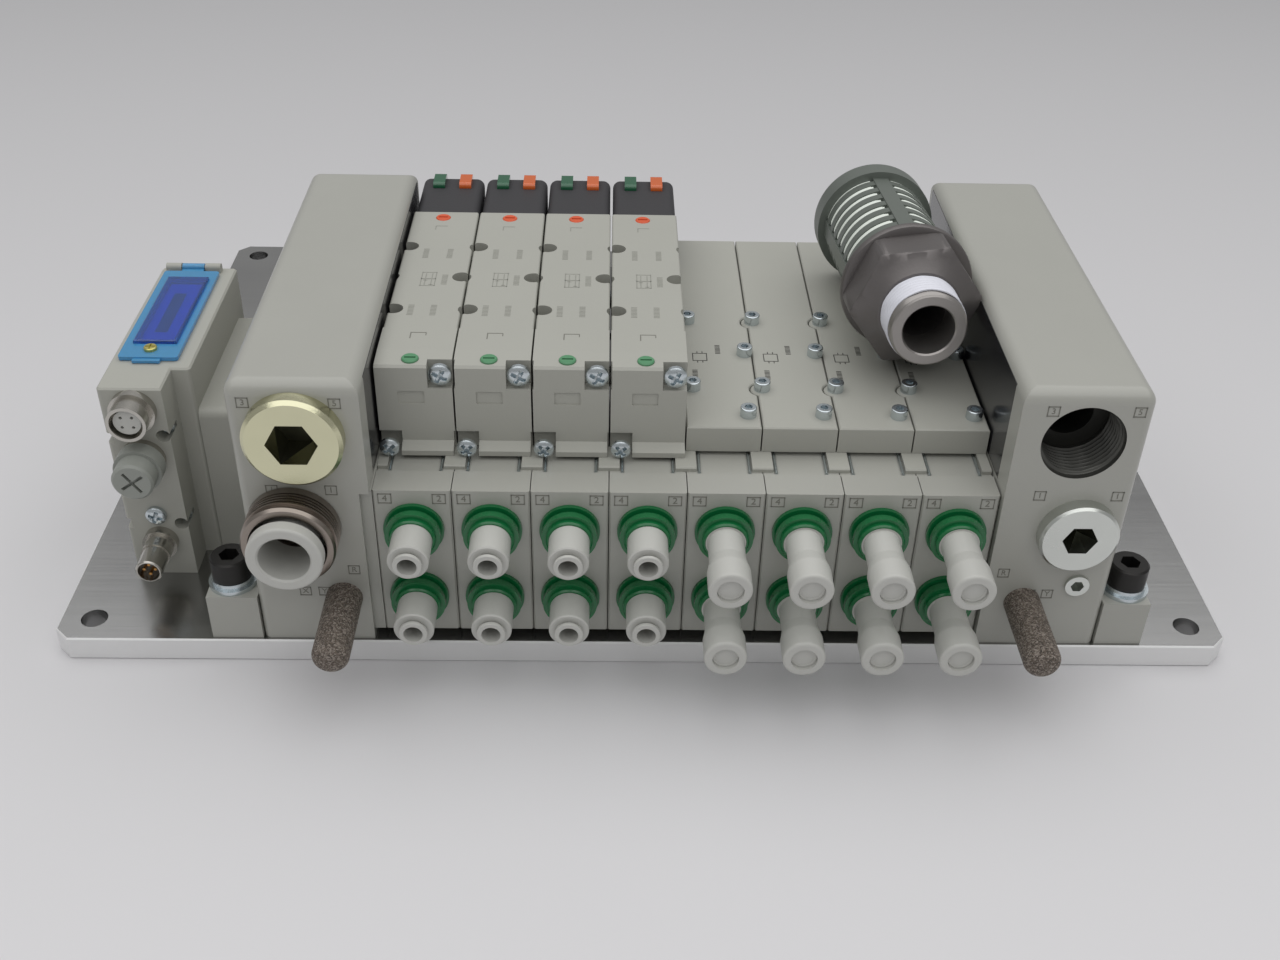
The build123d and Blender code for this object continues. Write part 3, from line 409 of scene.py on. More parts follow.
# %% Sintered bronze
def make_sintered():
    """Shade = one random value a Voronoi cell; height = minus the distance to its middle."""
    material, tree, shader = new_material("sintered_bronze")
    shader.inputs["Metallic"].default_value = 0.35
    place = add_node(tree, "ShaderNodeTexCoord")
    cells = add_node(tree, "ShaderNodeTexVoronoi", scale=2300.0)
    split = add_node(tree, "ShaderNodeSeparateColor")
    shades = add_node(tree, "ShaderNodeValToRGB")
    shades.color_ramp.elements[0].position = 0.0
    shades.color_ramp.elements[0].color = tone(78, 71, 65)
    shades.color_ramp.elements[1].position = 1.0
    shades.color_ramp.elements[1].color = tone(166, 157, 148)
    middle = shades.color_ramp.elements.new(0.55)
    middle.color = tone(116, 105, 95)
    rough = add_node(tree, "ShaderNodeMapRange")
    rough.inputs["To Min"].default_value = 0.4
    rough.inputs["To Max"].default_value = 0.75
    relief = add_node(tree, "ShaderNodeBump", strength=1.0)
    relief.invert = True
    relief.inputs["Distance"].default_value = 0.4 * MM
    link = tree.links.new
    link(place.outputs["Object"], cells.inputs["Vector"])
    link(cells.outputs["Color"], split.inputs["Color"])
    link(split.outputs["Red"], shades.inputs["Fac"])
    link(shades.outputs["Color"], shader.inputs["Base Color"])
    link(split.outputs["Green"], rough.inputs["Value"])
    link(rough.outputs["Result"], shader.inputs["Roughness"])
    link(cells.outputs["Distance"], relief.inputs["Height"])
    link(relief.outputs["Normal"], shader.inputs["Normal"])
    return material


finishes["sintered_bronze"] = make_sintered()
print("made:", finishes["sintered_bronze"].name)

# %% [markdown]
# ## The clear lid
# The window lid is light blue transparent plastic about a millimetre thick. Its frame is
# cloudier than its raised window, so the two have different transmission weights.

# %% Clear blue lid
def make_clear(name, colour, transmission):
    """Smooth tinted plastic: the grain group moves its colour, the rest are plain values."""
    material = make_finish(name, colour, 0.08, bump=0.01, mottle=0.05, coat=0.3)
    shader = material.node_tree.nodes["Principled BSDF"]
    shader.inputs["IOR"].default_value = 1.46
    shader.inputs["Transmission Weight"].default_value = transmission
    return material


finishes["clear_blue"] = make_clear("clear_blue_lid", tone(96, 178, 228), 0.45)
window_material = make_clear("deep_blue_window", tone(120, 164, 244), 0.88)
print("made:", finishes["clear_blue"].name, window_material.name)

# %% [markdown]
# ## Give every solid its finish
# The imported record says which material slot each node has. One loop clears the imported
# materials and puts ours in their place, so no node can be forgotten.

# %% Assign the finishes
slot_of = {entry["node"]: entry["material_slot"] for entry in frame["record"]["subparts"]}
for node_name, node in nodes.items():
    node.data.materials.clear()
    node.data.materials.append(finishes[slot_of[node_name]])
print("nodes with a finish:", len(nodes))

# %% [markdown]
# ## Two finishes on one node
# Some nodes hold pieces of two colours, such as the green and orange lenses. The faces
# are sorted by where their centres are, and only their material number changes. The
# lens right of a valve's middle is orange, and the pins of the lower connector are gold.

# %% Lenses and pins
def face_rows(node_name, what):
    """One row of three numbers for each face of a node: its "center" or its "normal"."""
    mesh = nodes[node_name].data
    values = np.zeros(len(mesh.polygons) * 3, np.float32)
    mesh.polygons.foreach_get(what, values)
    return values.reshape(-1, 3)


def paint_faces(node_name, chosen, material):
    """Give the chosen faces of a node a second material."""
    mesh = nodes[node_name].data
    mesh.materials.append(material)
    numbers = np.zeros(len(mesh.polygons), np.int32)
    mesh.polygons.foreach_get("material_index", numbers)
    numbers[chosen] = len(mesh.materials) - 1
    mesh.polygons.foreach_set("material_index", numbers)
    mesh.update()
    print(node_name, "faces repainted:", int(np.count_nonzero(chosen)))


lens_x = face_rows("indicator_lenses", "center")[:, 0]
nearest = station_x[np.abs(lens_x[:, None] - station_x[None, :]).argmin(axis=1)]
paint_faces("indicator_lenses", lens_x > nearest, orange_lens)

pin_depth = 8 * MM
insert_low, insert_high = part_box("connector_inserts")
insert_centres = face_rows("connector_inserts", "center")
lower_insert = insert_centres[:, 2] < (insert_low.z + insert_high.z) / 2
sticking_out = insert_centres[:, 1] < insert_high.y - pin_depth
paint_faces("connector_inserts", lower_insert & sticking_out, gold_pin)

# %% [markdown]
# ## The window in the lid
# The lid's raised middle is clearer and deeper blue than its rim. The window is the part
# of the lid inside a small rectangle.

# %% Lid window
window_middle = (-167.6 * MM, -62.1 * MM)
window_half = (7.5 * MM, 23.6 * MM)
lid_low, lid_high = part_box("window_lid")
lid_centres = face_rows("window_lid", "center")
in_width = np.abs(lid_centres[:, 0] - window_middle[0]) < window_half[0]
in_length = np.abs(lid_centres[:, 1] - window_middle[1]) < window_half[1]
paint_faces("window_lid", in_width & in_length, window_material)
print("lid size in mm:", [round(v / MM, 1) for v in lid_high - lid_low])

# %% [markdown]
# ## Ports, key sockets and the sawn edge
# The exhaust port is bare metal inside. The key sockets of the plugs are painted darker than
# their faces, as painted shade in the recesses. All three are found the same way: faces close
# to a line along Y, and behind the front face. The plate's edge is sawn and matte, and its
# upright faces are painted brighter, as a painted reflection of the lit table in front.

# %% Ports, sockets and edge
skin = 0.3 * MM
port_reach = 13.4 * MM
edge_band = 6 * MM


def near_line(centres, x, z, reach):
    """True where a face's centre is within reach of the line along Y through (x, z)."""
    return np.hypot(centres[:, 0] - x, centres[:, 2] - z) < reach


exhaust = next(m for m in frame["record"]["mounts"] if m["name"] == "exhaust_port")
exhaust_x, exhaust_z = exhaust["pos_m"][0], exhaust["pos_m"][2]
block_centres = face_rows("right_end_block", "center")
behind_front = block_centres[:, 1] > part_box("right_end_block")[0].y + skin
in_port = near_line(block_centres, exhaust_x, exhaust_z, port_reach)
paint_faces("right_end_block", in_port & behind_front, port_metal)

# Paints shade into the key sockets of the plugs.
for node_name, x, z, reach in (
    ("left_exhaust_plug", -109.0, 91.2, 8.3),
    ("right_blanking_plugs", 138.0, 57.0, 6.0),
):
    plug_centres = face_rows(node_name, "center")
    in_socket = near_line(plug_centres, x * MM, z * MM, reach * MM)
    behind_front = plug_centres[:, 1] > plug_centres[in_socket, 1].min() + skin
    paint_faces(node_name, in_socket & behind_front, painted_shade_socket)

plate_low, plate_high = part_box("mounting_plate")
plate_centres = face_rows("mounting_plate", "center")
upright = np.abs(face_rows("mounting_plate", "normal")[:, 2]) < 0.9
inset = np.minimum.reduce(
    [
        plate_centres[:, 0] - plate_low.x,
        plate_high.x - plate_centres[:, 0],
        plate_centres[:, 1] - plate_low.y,
        plate_high.y - plate_centres[:, 1],
    ]
)
# The plate's upright edge faces get the sawn finish, whose brightness is partly a painted
# reflection.
paint_faces("mounting_plate", upright & (inset < edge_band), sawn_edge_and_painted_reflection)

# %% [markdown]
# ## Where the silencer points
# The loose silencer lies at a slight angle. Its porous element is a plain tube, so its
# axis runs from the middle of the tube's near half to the middle of its far half. The
# nose is the end nearest us.

# %% Find the silencer's axis
def node_points(node_name):
    """All vertices of a node as an array of rows."""
    mesh = nodes[node_name].data
    points = np.zeros(len(mesh.vertices) * 3, np.float32)
    mesh.vertices.foreach_get("co", points)
    return points.reshape(-1, 3).astype(float)


element_points = node_points("silencer_element")
body_points = node_points("silencer_body")
from_middle = element_points[:, 1] - element_points.mean(axis=0)[1]
far = element_points[from_middle > 0].mean(axis=0)
near = element_points[from_middle < 0].mean(axis=0)
silencer_axis = (far - near) / np.linalg.norm(far - near)
along = body_points @ silencer_axis
nose_ring = body_points[along < along.min() + 0.2 * MM]
nose_centre = (nose_ring.max(axis=0) + nose_ring.min(axis=0)) / 2
print("silencer nose in mm:", np.round(nose_centre / MM, 1), "axis:", np.round(silencer_axis, 3))


# %% [markdown]
# ## Surfaces from arrays
# New pieces are grids of points worked out all at once. The first helper makes the faces
# of a grid, and can join its last column to its first and its last row to its first. The
# others stack several shapes into one, and turn the result into an object.

# %% Grid to mesh
crease_angle = radians(32)


def grid_faces(rows, columns, close_rows, close_columns):
    """Quads between neighbouring grid points, wrapping round where asked."""
    row_end = rows if close_rows else rows - 1
    column_end = columns if close_columns else columns - 1
    i, j = np.meshgrid(np.arange(row_end), np.arange(column_end), indexing="ij")
    next_i, next_j = (i + 1) % rows, (j + 1) % columns
    corners = (
        i * columns + j,
        i * columns + next_j,
        next_i * columns + next_j,
        next_i * columns + j,
    )
    return np.stack([c.ravel() for c in corners], axis=1)


def join_shapes(shapes):
    """Stack (points, faces) pairs into one pair, moving each one's face numbers along."""
    points = [shape_points.reshape(-1, 3) for shape_points, _ in shapes]
    starts = np.cumsum([0] + [len(p) for p in points[:-1]])
    faces = [shape_faces + start for (_, shape_faces), start in zip(shapes, starts)]
    return np.concatenate(points), np.concatenate(faces)


def add_piece(name, points, faces, slot_name, body="island", material=None, smooth=True):
    """Make a mesh object from arrays, merge doubles, turn faces outwards and let it ride."""
    mesh = bpy.data.meshes.new(name)
    mesh.from_pydata(points.reshape(-1, 3).tolist(), [], faces.tolist())
    work = bmesh.new()
    work.from_mesh(mesh)
    bmesh.ops.remove_doubles(work, verts=work.verts, dist=1e-7)
    bmesh.ops.recalc_face_normals(work, faces=work.faces)
    work.to_mesh(mesh)
    work.free()
    mesh.materials.append(material or finishes[slot_name])
    mesh.polygons.foreach_set("use_smooth", np.full(len(mesh.polygons), smooth))
    if smooth:
        mesh.set_sharp_from_angle(angle=crease_angle)
    piece = bpy.data.objects.new(name, mesh)
    bpy.context.scene.collection.objects.link(piece)
    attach(piece, body)
    print(name, "faces:", len(mesh.polygons))
    return piece


print("faces of a closed 4 by 3 grid:", len(grid_faces(4, 3, True, True)))

# %% [markdown]
# ## Sweeping round an axis
# Threads, tape, the silencer and the supply fitting are all radii swept round an axis.
# Each radius belongs to a turn, from 0 to 1, and a distance along the axis. A sleeve has
# an outer wall that goes out and a plain inner wall that comes back, as one closed ring.

# %% Sweeps
def local_axes(axis):
    """Two directions square to an axis and to each other."""
    axis = np.asarray(axis, float)
    side = np.cross(axis, [0.0, 0.0, 1.0]) if abs(axis[2]) < 0.9 else np.array([1.0, 0.0, 0.0])
    side = side / np.linalg.norm(side)
    return side, np.cross(axis, side)


def sweep(radius, distance, turn, start, axis):
    """start + distance * axis + radius * (cos(a) * side + sin(a) * over), a = 2 pi * turn."""
    side, over = local_axes(axis)
    angle = 2 * pi * turn[:, None, None]
    direction = np.cos(angle) * side + np.sin(angle) * over
    centre = np.asarray(start) + distance[..., None] * np.asarray(axis, float)
    return centre + radius[..., None] * direction


def sleeve(outer, inner, distance, turn, start, axis):
    """Points and faces of a closed wall between the outer radii and one inner radius."""
    radius = np.concatenate([outer, np.full_like(outer, inner)], axis=1)
    out_and_back = np.concatenate([distance, distance[:, ::-1]], axis=1)
    points = sweep(radius, out_and_back, turn, start, axis)
    return points, grid_faces(len(turn), radius.shape[1], True, True)


def turned(profile, start, axis, turns=96, closed=False):
    """Sweep rows of (radius, distance) in mm; radii of nought, or a closed loop, shut it."""
    radius, distance = np.asarray(profile, float).T[:, None, :] * MM
    turn = np.linspace(0, 1, turns, endpoint=False)
    points = sweep(radius, distance, turn, start, axis)
    return points, grid_faces(turns, len(profile), True, closed)


print("side and over of a level axis:", *local_axes((0, 1, 0)))

# %% [markdown]
# ## Threads
# A thread is a sleeve whose radius depends on both the turn and the distance along it:
# a triangle wave of (distance / pitch - turn). It fades out over the last part of a turn
# at both ends. The exhaust port has a 3/4 inch pipe thread, with 14 turns to the inch.

# %% Thread in the exhaust port
pipe_pitch = 1.814 * MM


def thread_sleeve(name, start, axis, length, root, crest, wall, pitch, slot_name, material=None):
    """radius = root + (crest - root) * triangle(distance / pitch - turn), on a closed sleeve."""
    steps = int(length / pitch * 12) + 2
    turn = np.linspace(0, 1, 96, endpoint=False)
    t, s = np.meshgrid(turn, np.linspace(0, length, steps), indexing="ij")
    wave = 1 - np.abs(2 * ((s / pitch - t) % 1) - 1)
    fade = np.clip(np.minimum(s, length - s) / (0.8 * pitch), 0, 1)
    radius = root + (crest - root) * np.clip(wave * 1.35 - 0.12, 0, 1) * fade
    points, faces = sleeve(radius, wall, s, turn, start, axis)
    return add_piece(name, points, faces, slot_name, material=material)


port_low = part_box("right_end_block")[0]
thread_sleeve(
    "exhaust_port_thread",
    start=(exhaust_x, port_low.y + 1.4 * MM, exhaust_z),
    axis=(0, 1, 0),
    length=15.5 * MM,
    root=13.12 * MM,
    crest=12.1 * MM,
    wall=13.19 * MM,
    pitch=pipe_pitch,
    slot_name="beige_paint",
    material=port_metal,
)

# %% [markdown]
# ## Sealing tape on the silencer
# White tape is wound over the pipe thread. It hides the crests but not quite: the thread
# still shows as faint rings, and the tape's edge is a little uneven.

# %% Thread tape
def tape_sleeve(turns=120, steps=60):
    """radius = 13.12 mm + thread rings + slow waves of turn and distance, on a closed sleeve."""
    turn = np.linspace(0, 1, turns, endpoint=False)
    t, v = np.meshgrid(turn, np.linspace(0, 1, steps), indexing="ij")
    front = 3.6 + 0.35 * np.sin(2 * pi * (2 * t + 0.2)) + 0.15 * np.sin(2 * pi * 7 * t)
    back = 14.3
    distance = (front + (back - front) * v) * MM
    rings = 0.10 * np.cos(2 * pi * (distance / pipe_pitch - t))
    slow_wave = 0.06 * np.sin(2 * pi * (3 * t + 40 * distance))
    quick_wave = 0.05 * np.sin(2 * pi * (11 * t + 90 * distance))
    outer = (13.12 + rings + slow_wave + quick_wave) * MM
    return sleeve(outer, 12.82 * MM, distance, turn, nose_centre, silencer_axis)


add_piece("silencer_thread_tape", *tape_sleeve(), "white_element", material=tape_white)


# %% [markdown]
# ## Cross-recess screws
# The pan heads on the valve fronts are domed discs with a cross pressed into them. The
# head is a polar grid: its height falls off with the radius, and drops again wherever
# the point lies in one of the two arms of the cross.

# %% Screw head shape
def pan_heads(places, radius, height, direction, twist):
    """height = dome(r) - recess(x, y), one closed shell a place, all stacked in one array."""
    rings, spokes = 28, 56
    dome_drop, dome_power = 0.42, 3.2
    arm_half, arm_slope = 0.17, 0.05
    arm_end, end_slope = 0.7, 0.08
    share = np.concatenate([np.linspace(0, 1, rings), [1.0, 0.0]])
    angle = np.linspace(0, 2 * pi, spokes, endpoint=False)
    r, a = np.meshgrid(share, angle, indexing="ij")
    x, y = r * np.cos(a + twist), r * np.sin(a + twist)
    across = np.minimum(np.abs(x), np.abs(y))
    outward = np.maximum(np.abs(x), np.abs(y))
    cross = np.clip((arm_half - across) / arm_slope, 0, 1)
    cross = cross * np.clip((arm_end - outward) / end_slope, 0, 1)
    level = 1 - dome_drop * r**dome_power - 0.85 * cross * (1 - 0.7 * outward)
    level[rings:] = 0.0
    side, over = local_axes(direction)
    flat = radius * (r[..., None] * (np.cos(a)[..., None] * side + np.sin(a)[..., None] * over))
    shape = flat + height * level[..., None] * np.asarray(direction, float)
    faces = grid_faces(rings + 2, spokes, False, True)
    return join_shapes([(shape + np.asarray(place), faces) for place in places])


print("points in one head:", len(pan_heads([(0, 0, 0)], MM, MM, (0, 0, 1), 0)[0]))

# %% [markdown]
# Each valve has a screw at the top right and the bottom left of its cover, and three
# deep in wells on top. The interface unit has one earth screw and two in deep holes.

# %% Place the screw heads
cover_low, cover_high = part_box("valve_end_covers")
well_z = cover_high.z - 24 * MM
top_row = [(x + 8.4 * MM, cover_low.y + 5.5 * MM, cover_high.z - 4.1 * MM) for x in valve_x]
base_row = [(x - 8.8 * MM, cover_low.y + 0.6 * MM, cover_low.z + 3.3 * MM) for x in valve_x]
well_row = [(x - 10.5 * MM, y * MM, well_z) for x in valve_x for y in (-38.3, -85.0)]
well_row += [(x + 10.4 * MM, -61.7 * MM, well_z) for x in valve_x]
valve_shapes = [
    pan_heads(top_row, 3.7 * MM, 2.4 * MM, (0, -1, 0), 0.5),
    pan_heads(base_row, 3.2 * MM, 2.2 * MM, (0, -1, 0), 0.9),
    pan_heads(well_row, 2.3 * MM, 2.9 * MM, (0, 0, 1), 0.2),
]
screw_low, screw_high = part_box("valve_screws")
screw_heights = [round(z / MM, 1) for z in (screw_low.z, screw_high.z)]
print("the plain screws span these heights in mm:", screw_heights)
valve_heads = add_piece("valve_screw_heads", *join_shapes(valve_shapes), "zinc_steel")
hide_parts("valve_screws")

earth_low, earth_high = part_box("interface_screws")
earth_place = (-169.4 * MM, earth_low.y + 2.4 * MM, 35.0 * MM)
deep_places = [(-161.5 * MM, earth_high.y - 2.5 * MM, z * MM) for z in (67.5, 31.0)]
interface_shapes = [
    pan_heads([earth_place], 3.5 * MM, 2.4 * MM, (0, -1, 0), 0.3),
    pan_heads(deep_places, 2.35 * MM, 2.0 * MM, (0, -1, 0), 0.6),
]
interface_heads = add_piece("interface_screw_heads", *join_shapes(interface_shapes), "zinc_steel")
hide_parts("interface_screws")


# %% [markdown]
# ## Raised marks
# Each port has a small raised number in the moulding. Numbers come from Blender's own
# font, are turned into meshes, and are copied to every place as arrays. A thin frame
# stands round each one. The numbers are the ones that any valve of this kind uses.

# %% Numbers and frames
frame_line = 0.28 * MM
mark_height = 0.12 * MM
mark_sink = 0.02 * MM


def number_mesh(text, size, thickness):
    """Vertices and faces of a short text, centred, lying in the X-Z plane and facing -Y."""
    curve = bpy.data.curves.new("mark_" + text, "FONT")
    curve.body = text
    curve.size = size
    curve.extrude = thickness / 2
    curve.align_x = "CENTER"
    curve.align_y = "CENTER"
    holder = bpy.data.objects.new("mark_" + text, curve)
    mesh = bpy.data.meshes.new_from_object(holder)
    points = np.zeros(len(mesh.vertices) * 3, np.float32)
    mesh.vertices.foreach_get("co", points)
    points = points.reshape(-1, 3)
    faces = [list(p.vertices) for p in mesh.polygons]
    bpy.data.objects.remove(holder)
    bpy.data.meshes.remove(mesh)
    return np.stack([points[:, 0], -points[:, 2], points[:, 1]], axis=1), faces


def bar_mesh(bars, depth):
    """Thin blocks in the X-Z plane from (x0, z0, x1, z1) rows, standing proud by depth."""
    bars = np.asarray(bars, float)
    x = bars[:, [0, 2, 2, 0, 0, 2, 2, 0]]
    z = bars[:, [1, 1, 3, 3, 1, 1, 3, 3]]
    y = np.broadcast_to(np.array([0, 0, 0, 0, -depth, -depth, -depth, -depth]), x.shape)
    points = np.stack([x, y, z], axis=-1).reshape(-1, 3)
    block = [[0, 1, 2, 3], [7, 6, 5, 4], [0, 4, 5, 1], [1, 5, 6, 2], [2, 6, 7, 3], [3, 7, 4, 0]]
    faces = [[v + 8 * k for v in face] for k in range(len(bars)) for face in block]
    return points, faces


def frame_bars(w, h, line):
    """Four bars that make a rectangular frame of half width w and half height h."""
    return [
        (-w, h - line, w, h),
        (-w, -h, w, -h + line),
        (-w, -h, -w + line, h),
        (w - line, -h, w, h),
    ]


def add_marks(name, entries, size, frame_half, material):
    """Join framed numbers, each (text, place), into one piece."""
    points, faces, count = [], [], 0
    for text, place in entries:
        for shape_points, shape_faces in (
            number_mesh(text, size, mark_height),
            bar_mesh(frame_bars(*frame_half, frame_line), mark_height),
        ):
            points.append(shape_points + np.asarray(place))
            faces += [[v + count for v in face] for face in shape_faces]
            count += len(shape_points)
    mesh = bpy.data.meshes.new(name)
    mesh.from_pydata(np.concatenate(points).tolist(), [], faces)
    mesh.materials.append(material)
    piece = bpy.data.objects.new(name, mesh)
    bpy.context.scene.collection.objects.link(piece)
    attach(piece, "island")
    print(name, "marks:", len(entries))


print("faces in one frame:", len(bar_mesh(frame_bars(2, 2, 0.3), 0.1)[1]))

# %% [markdown]
# Each station has a 4 and a 2 above its ports. The end blocks are marked with the
# supply and exhaust numbers, and with letters for the pilot and breather ports.

# %% Place the marks
station_mark_y = front_face_y - mark_sink
station_mark_z = upper_port_z + 11.6 * MM
station_rows = [
    (text, (x + shift * MM, station_mark_y, station_mark_z))
    for x in station_x
    for text, shift in (("4", -8.6), ("2", 8.6))
]
add_marks(
    "station_port_numbers", station_rows, 3.4 * MM, (2.2 * MM, 1.9 * MM), mark_paint
)

end_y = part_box("left_end_block")[0].y - mark_sink
end_marks = [
    ("3", -123.3, 102.9), ("5", -95.7, 102.9), ("1", -118.5, 70.7), ("1", -100.0, 70.7),
    ("R", -95.8, 38.7), ("X", -112.6, 29.5), ("Y", -106.4, 29.5),
    ("3", 122.0, 102.9), ("5", 148.6, 102.9), ("1", 123.6, 71.2), ("1", 148.4, 71.2),
    ("R", 117.4, 39.6), ("X", 127.4, 30.8), ("Y", 133.4, 30.8),
]
end_rows = [(text, (x * MM, end_y, z * MM)) for text, x, z in end_marks]
add_marks(
    "end_block_marks", end_rows, 2.9 * MM, (1.9 * MM, 1.8 * MM), mark_paint
)


# %% [markdown]
# ## Flat prints on the valves and plates
# The valve tops carry a faint switching symbol and a short corner line, and the blanking
# plates carry a small black one. They are thin bars laid on the top faces, turned from
# the upright X-Z plane into the flat X-Y plane. Rows of short bars stand for small text.

# %% Symbols as bars
line = 0.3
box_symbol = [
    (-2.6, -2.6, 5.2, line),
    (-2.6, 2.3, 5.2, line),
    (-2.6, -2.6, line, 5.2),
    (2.3, -2.6, line, 5.2),
]
valve_symbol = [
    *box_symbol,
    (-2.6, 2.6, 5.2, line),
    (-2.6, 7.2, 5.2, line),
    (-2.6, 2.6, line, 4.9),
    (2.3, 2.6, line, 4.9),
    (-1.2, -2.0, line, 4.0),
    (1.0, -2.0, line, 4.0),
    (-1.2, 3.2, line, 3.4),
    (1.0, 3.2, line, 3.4),
    (-1.8, 1.4, 1.5, line),
    (0.4, -1.8, 1.5, line),
]
plate_symbol = box_symbol + [(x, y, line, 1.2) for y in (-3.8, 2.6) for x in (-1.0, 0.8)]
corner_line = [(-2.8, 0.0, 5.2, 0.35), (-2.8, -3.6, 0.35, 3.6), (2.2, -1.6, 0.3, 1.6)]
rear_corner = [(-1.8, 0.0, 4.4, 0.35), (-1.8, -2.8, 0.35, 2.8)]
text_bars = [(-1.0, -3.4 + 0.95 * k, 2.0, 0.45) for k in range(8)]
small_text = [(-1.0, -3.6 + 0.9 * k, 1.8, 0.4) for k in range(7)]
print("bars in the valve symbol:", len(valve_symbol))


# %% [markdown]
# Every valve and every blanking plate has the same prints, so each print is given once,
# as an offset from its station's middle and a place along Y, in millimetres.

# %% Print the symbols
def add_print(name, groups, top_z, material):
    """Bars (x, y, width, depth) in mm around each place, as thin blocks on a top face."""
    rows = []
    for place_x, place_y, bars in groups:
        rows += [
            (place_x + x, place_y + y, place_x + x + w, place_y + y + d) for x, y, w, d in bars
        ]
    points, faces = bar_mesh(np.asarray(rows) * MM, 0.06 * MM)
    flat = np.stack([points[:, 0], points[:, 2], top_z - points[:, 1]], axis=1)
    add_piece(name, flat, np.asarray(faces), "beige_resin", material=material, smooth=False)


def at_stations(stations, prints):
    """The same prints, each (offset, y, bars), at every station given."""
    return [(x / MM + offset, y, bars) for x in stations for offset, y, bars in prints]


valve_prints = [
    (-1.0, -66.0, valve_symbol),
    (4.6, -64.0, text_bars),
    (3.0, -86.0, text_bars),
    (-4.6, -86.0, text_bars),
    (4.6, -44.0, text_bars),
    (-4.0, -44.0, text_bars),
    (-1.0, -21.5, rear_corner),
]
plate_prints = [
    (-6.0, -76.0, plate_symbol),
    (-8.0, -87.0, small_text),
    (0.6, -70.0, small_text),
]
body_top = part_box("valve_body_1")[1].z
plate_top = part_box("blanking_plates")[1].z
cover_prints = [(0.0, -101.2, corner_line)]
add_print("valve_top_prints", at_stations(valve_x, valve_prints), body_top, faint_print)
add_print("cover_corner_lines", at_stations(valve_x, cover_prints), cover_high.z, mark_paint)
blank_groups = at_stations(station_x[valve_count:], plate_prints)
add_print("blanking_plate_prints", blank_groups, plate_top, black_print)


# %% [markdown]
# ## The silencer's hexagonal body
# The body is a turned profile whose middle is cut to a hexagon: the radius there is the
# smaller of the profile's own radius and the distance to the nearest flat. A flat is up.

# %% Hexagonal body
hex_rows = np.array(
    [  # distance in mm, radius in mm, 1 where the hexagon cuts it
        (14.4, 13.2, 0), (14.5, 14.0, 0), (17.4, 17.4, 0), (18.4, 19.6, 1), (19.2, 21.6, 1),
        (19.8, 23.0, 1), (31.8, 23.0, 1), (32.6, 21.8, 1), (32.9, 20.6, 1), (33.0, 21.8, 0),
        (33.3, 22.5, 0), (33.9, 22.8, 0), (35.9, 22.8, 0), (36.4, 22.4, 0), (36.5, 21.8, 0),
        (36.5, 8.6, 0), (14.4, 8.6, 0),
    ]
)


def hex_body(turns=144, to_flat=19.7, hex_turn=radians(6)):
    """radius = min(to_flat / cos(angle from a flat's middle), the profile's own radius)."""
    distance, own_radius, six_sided = hex_rows.T[:, None, :]
    turn = np.linspace(0, 1, turns, endpoint=False)
    from_flat = (2 * pi * turn + hex_turn) % radians(60) - radians(30)
    flat_radius = (to_flat / np.cos(from_flat))[:, None]
    radius = np.where(six_sided > 0, np.minimum(flat_radius, own_radius), own_radius) * MM
    points = sweep(radius, distance * MM, turn, nose_centre, silencer_axis)
    return points, grid_faces(turns, len(hex_rows), True, True)


silencer_piece = add_piece("silencer_hex_body", *hex_body(), "dark_cast_metal")
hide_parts("silencer_body")


# %% [markdown]
# ## The porous element
# The white element fills the cage and bulges a little into its slots, which are short
# arcs between four ribs. The sleeve's radius steps up wherever a slot is open. The ends
# of the slots are rounded by a circle's formula.

# %% Porous element
def element_sleeve(turns=180, steps=170):
    """radius = 17.35 mm, plus 1.3 mm wherever a slot of the cage is open, with rounded ends."""
    first_slot, slot_pitch, slot_middle = 40.5, 6.6, 1.5
    rib_degrees, arc_per_degree, end_radius = 11.0, 0.31, 1.5
    turn = np.linspace(0, 1, turns, endpoint=False)
    t, s = np.meshgrid(turn, np.linspace(36.7, 88.4, steps), indexing="ij")
    from_rib = np.abs((t * 4 + 0.5) % 1 - 0.5) * 90.0
    slot_end = (from_rib - rib_degrees) * arc_per_degree
    rounded = np.clip(slot_end, 0, end_radius) / end_radius
    half_height = 1.42 * np.sqrt(np.clip(1 - (1 - rounded) ** 2, 0, 1))
    from_slot = np.abs((s - first_slot) % slot_pitch - slot_middle)
    open_slot = (from_slot < half_height) & (s > first_slot)
    radius = (17.35 + 1.3 * open_slot) * MM
    return sleeve(radius, 16.4 * MM, s * MM, turn, nose_centre, silencer_axis)


element_piece = add_piece("silencer_element_sleeve", *element_sleeve(), "white_element")
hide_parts("silencer_element")

# %% [markdown]
# ## The silencer's nose
# The bare end of the silencer is a plain turned ring, brighter than the casting, with
# the first turns of its thread showing in front of the tape.

# %% Silencer nose
nose_rows = [
    (8.6, 14.3),
    (8.6, 0.5),
    (9.1, 0.0),
    (12.0, 0.0),
    (12.5, 0.4),
    *[(12.8 if k % 2 else 12.35, 0.9 + 0.9 * k) for k in range(4)],
    (12.8, 4.4),
    (12.8, 14.3),
]
nose_points, nose_faces = turned(nose_rows, nose_centre, silencer_axis, closed=True)
add_piece(
    "silencer_nose", nose_points, nose_faces, "dark_cast_metal", material=bare_nose_metal
)

# %% [markdown]
# ## The supply fitting
# The large supply fitting is a nickel body with fine rings round it and a stepped bore.
# Its profile starts at the axis inside the block, runs out along the rings, turns in at
# the mouth and comes back down the bore.

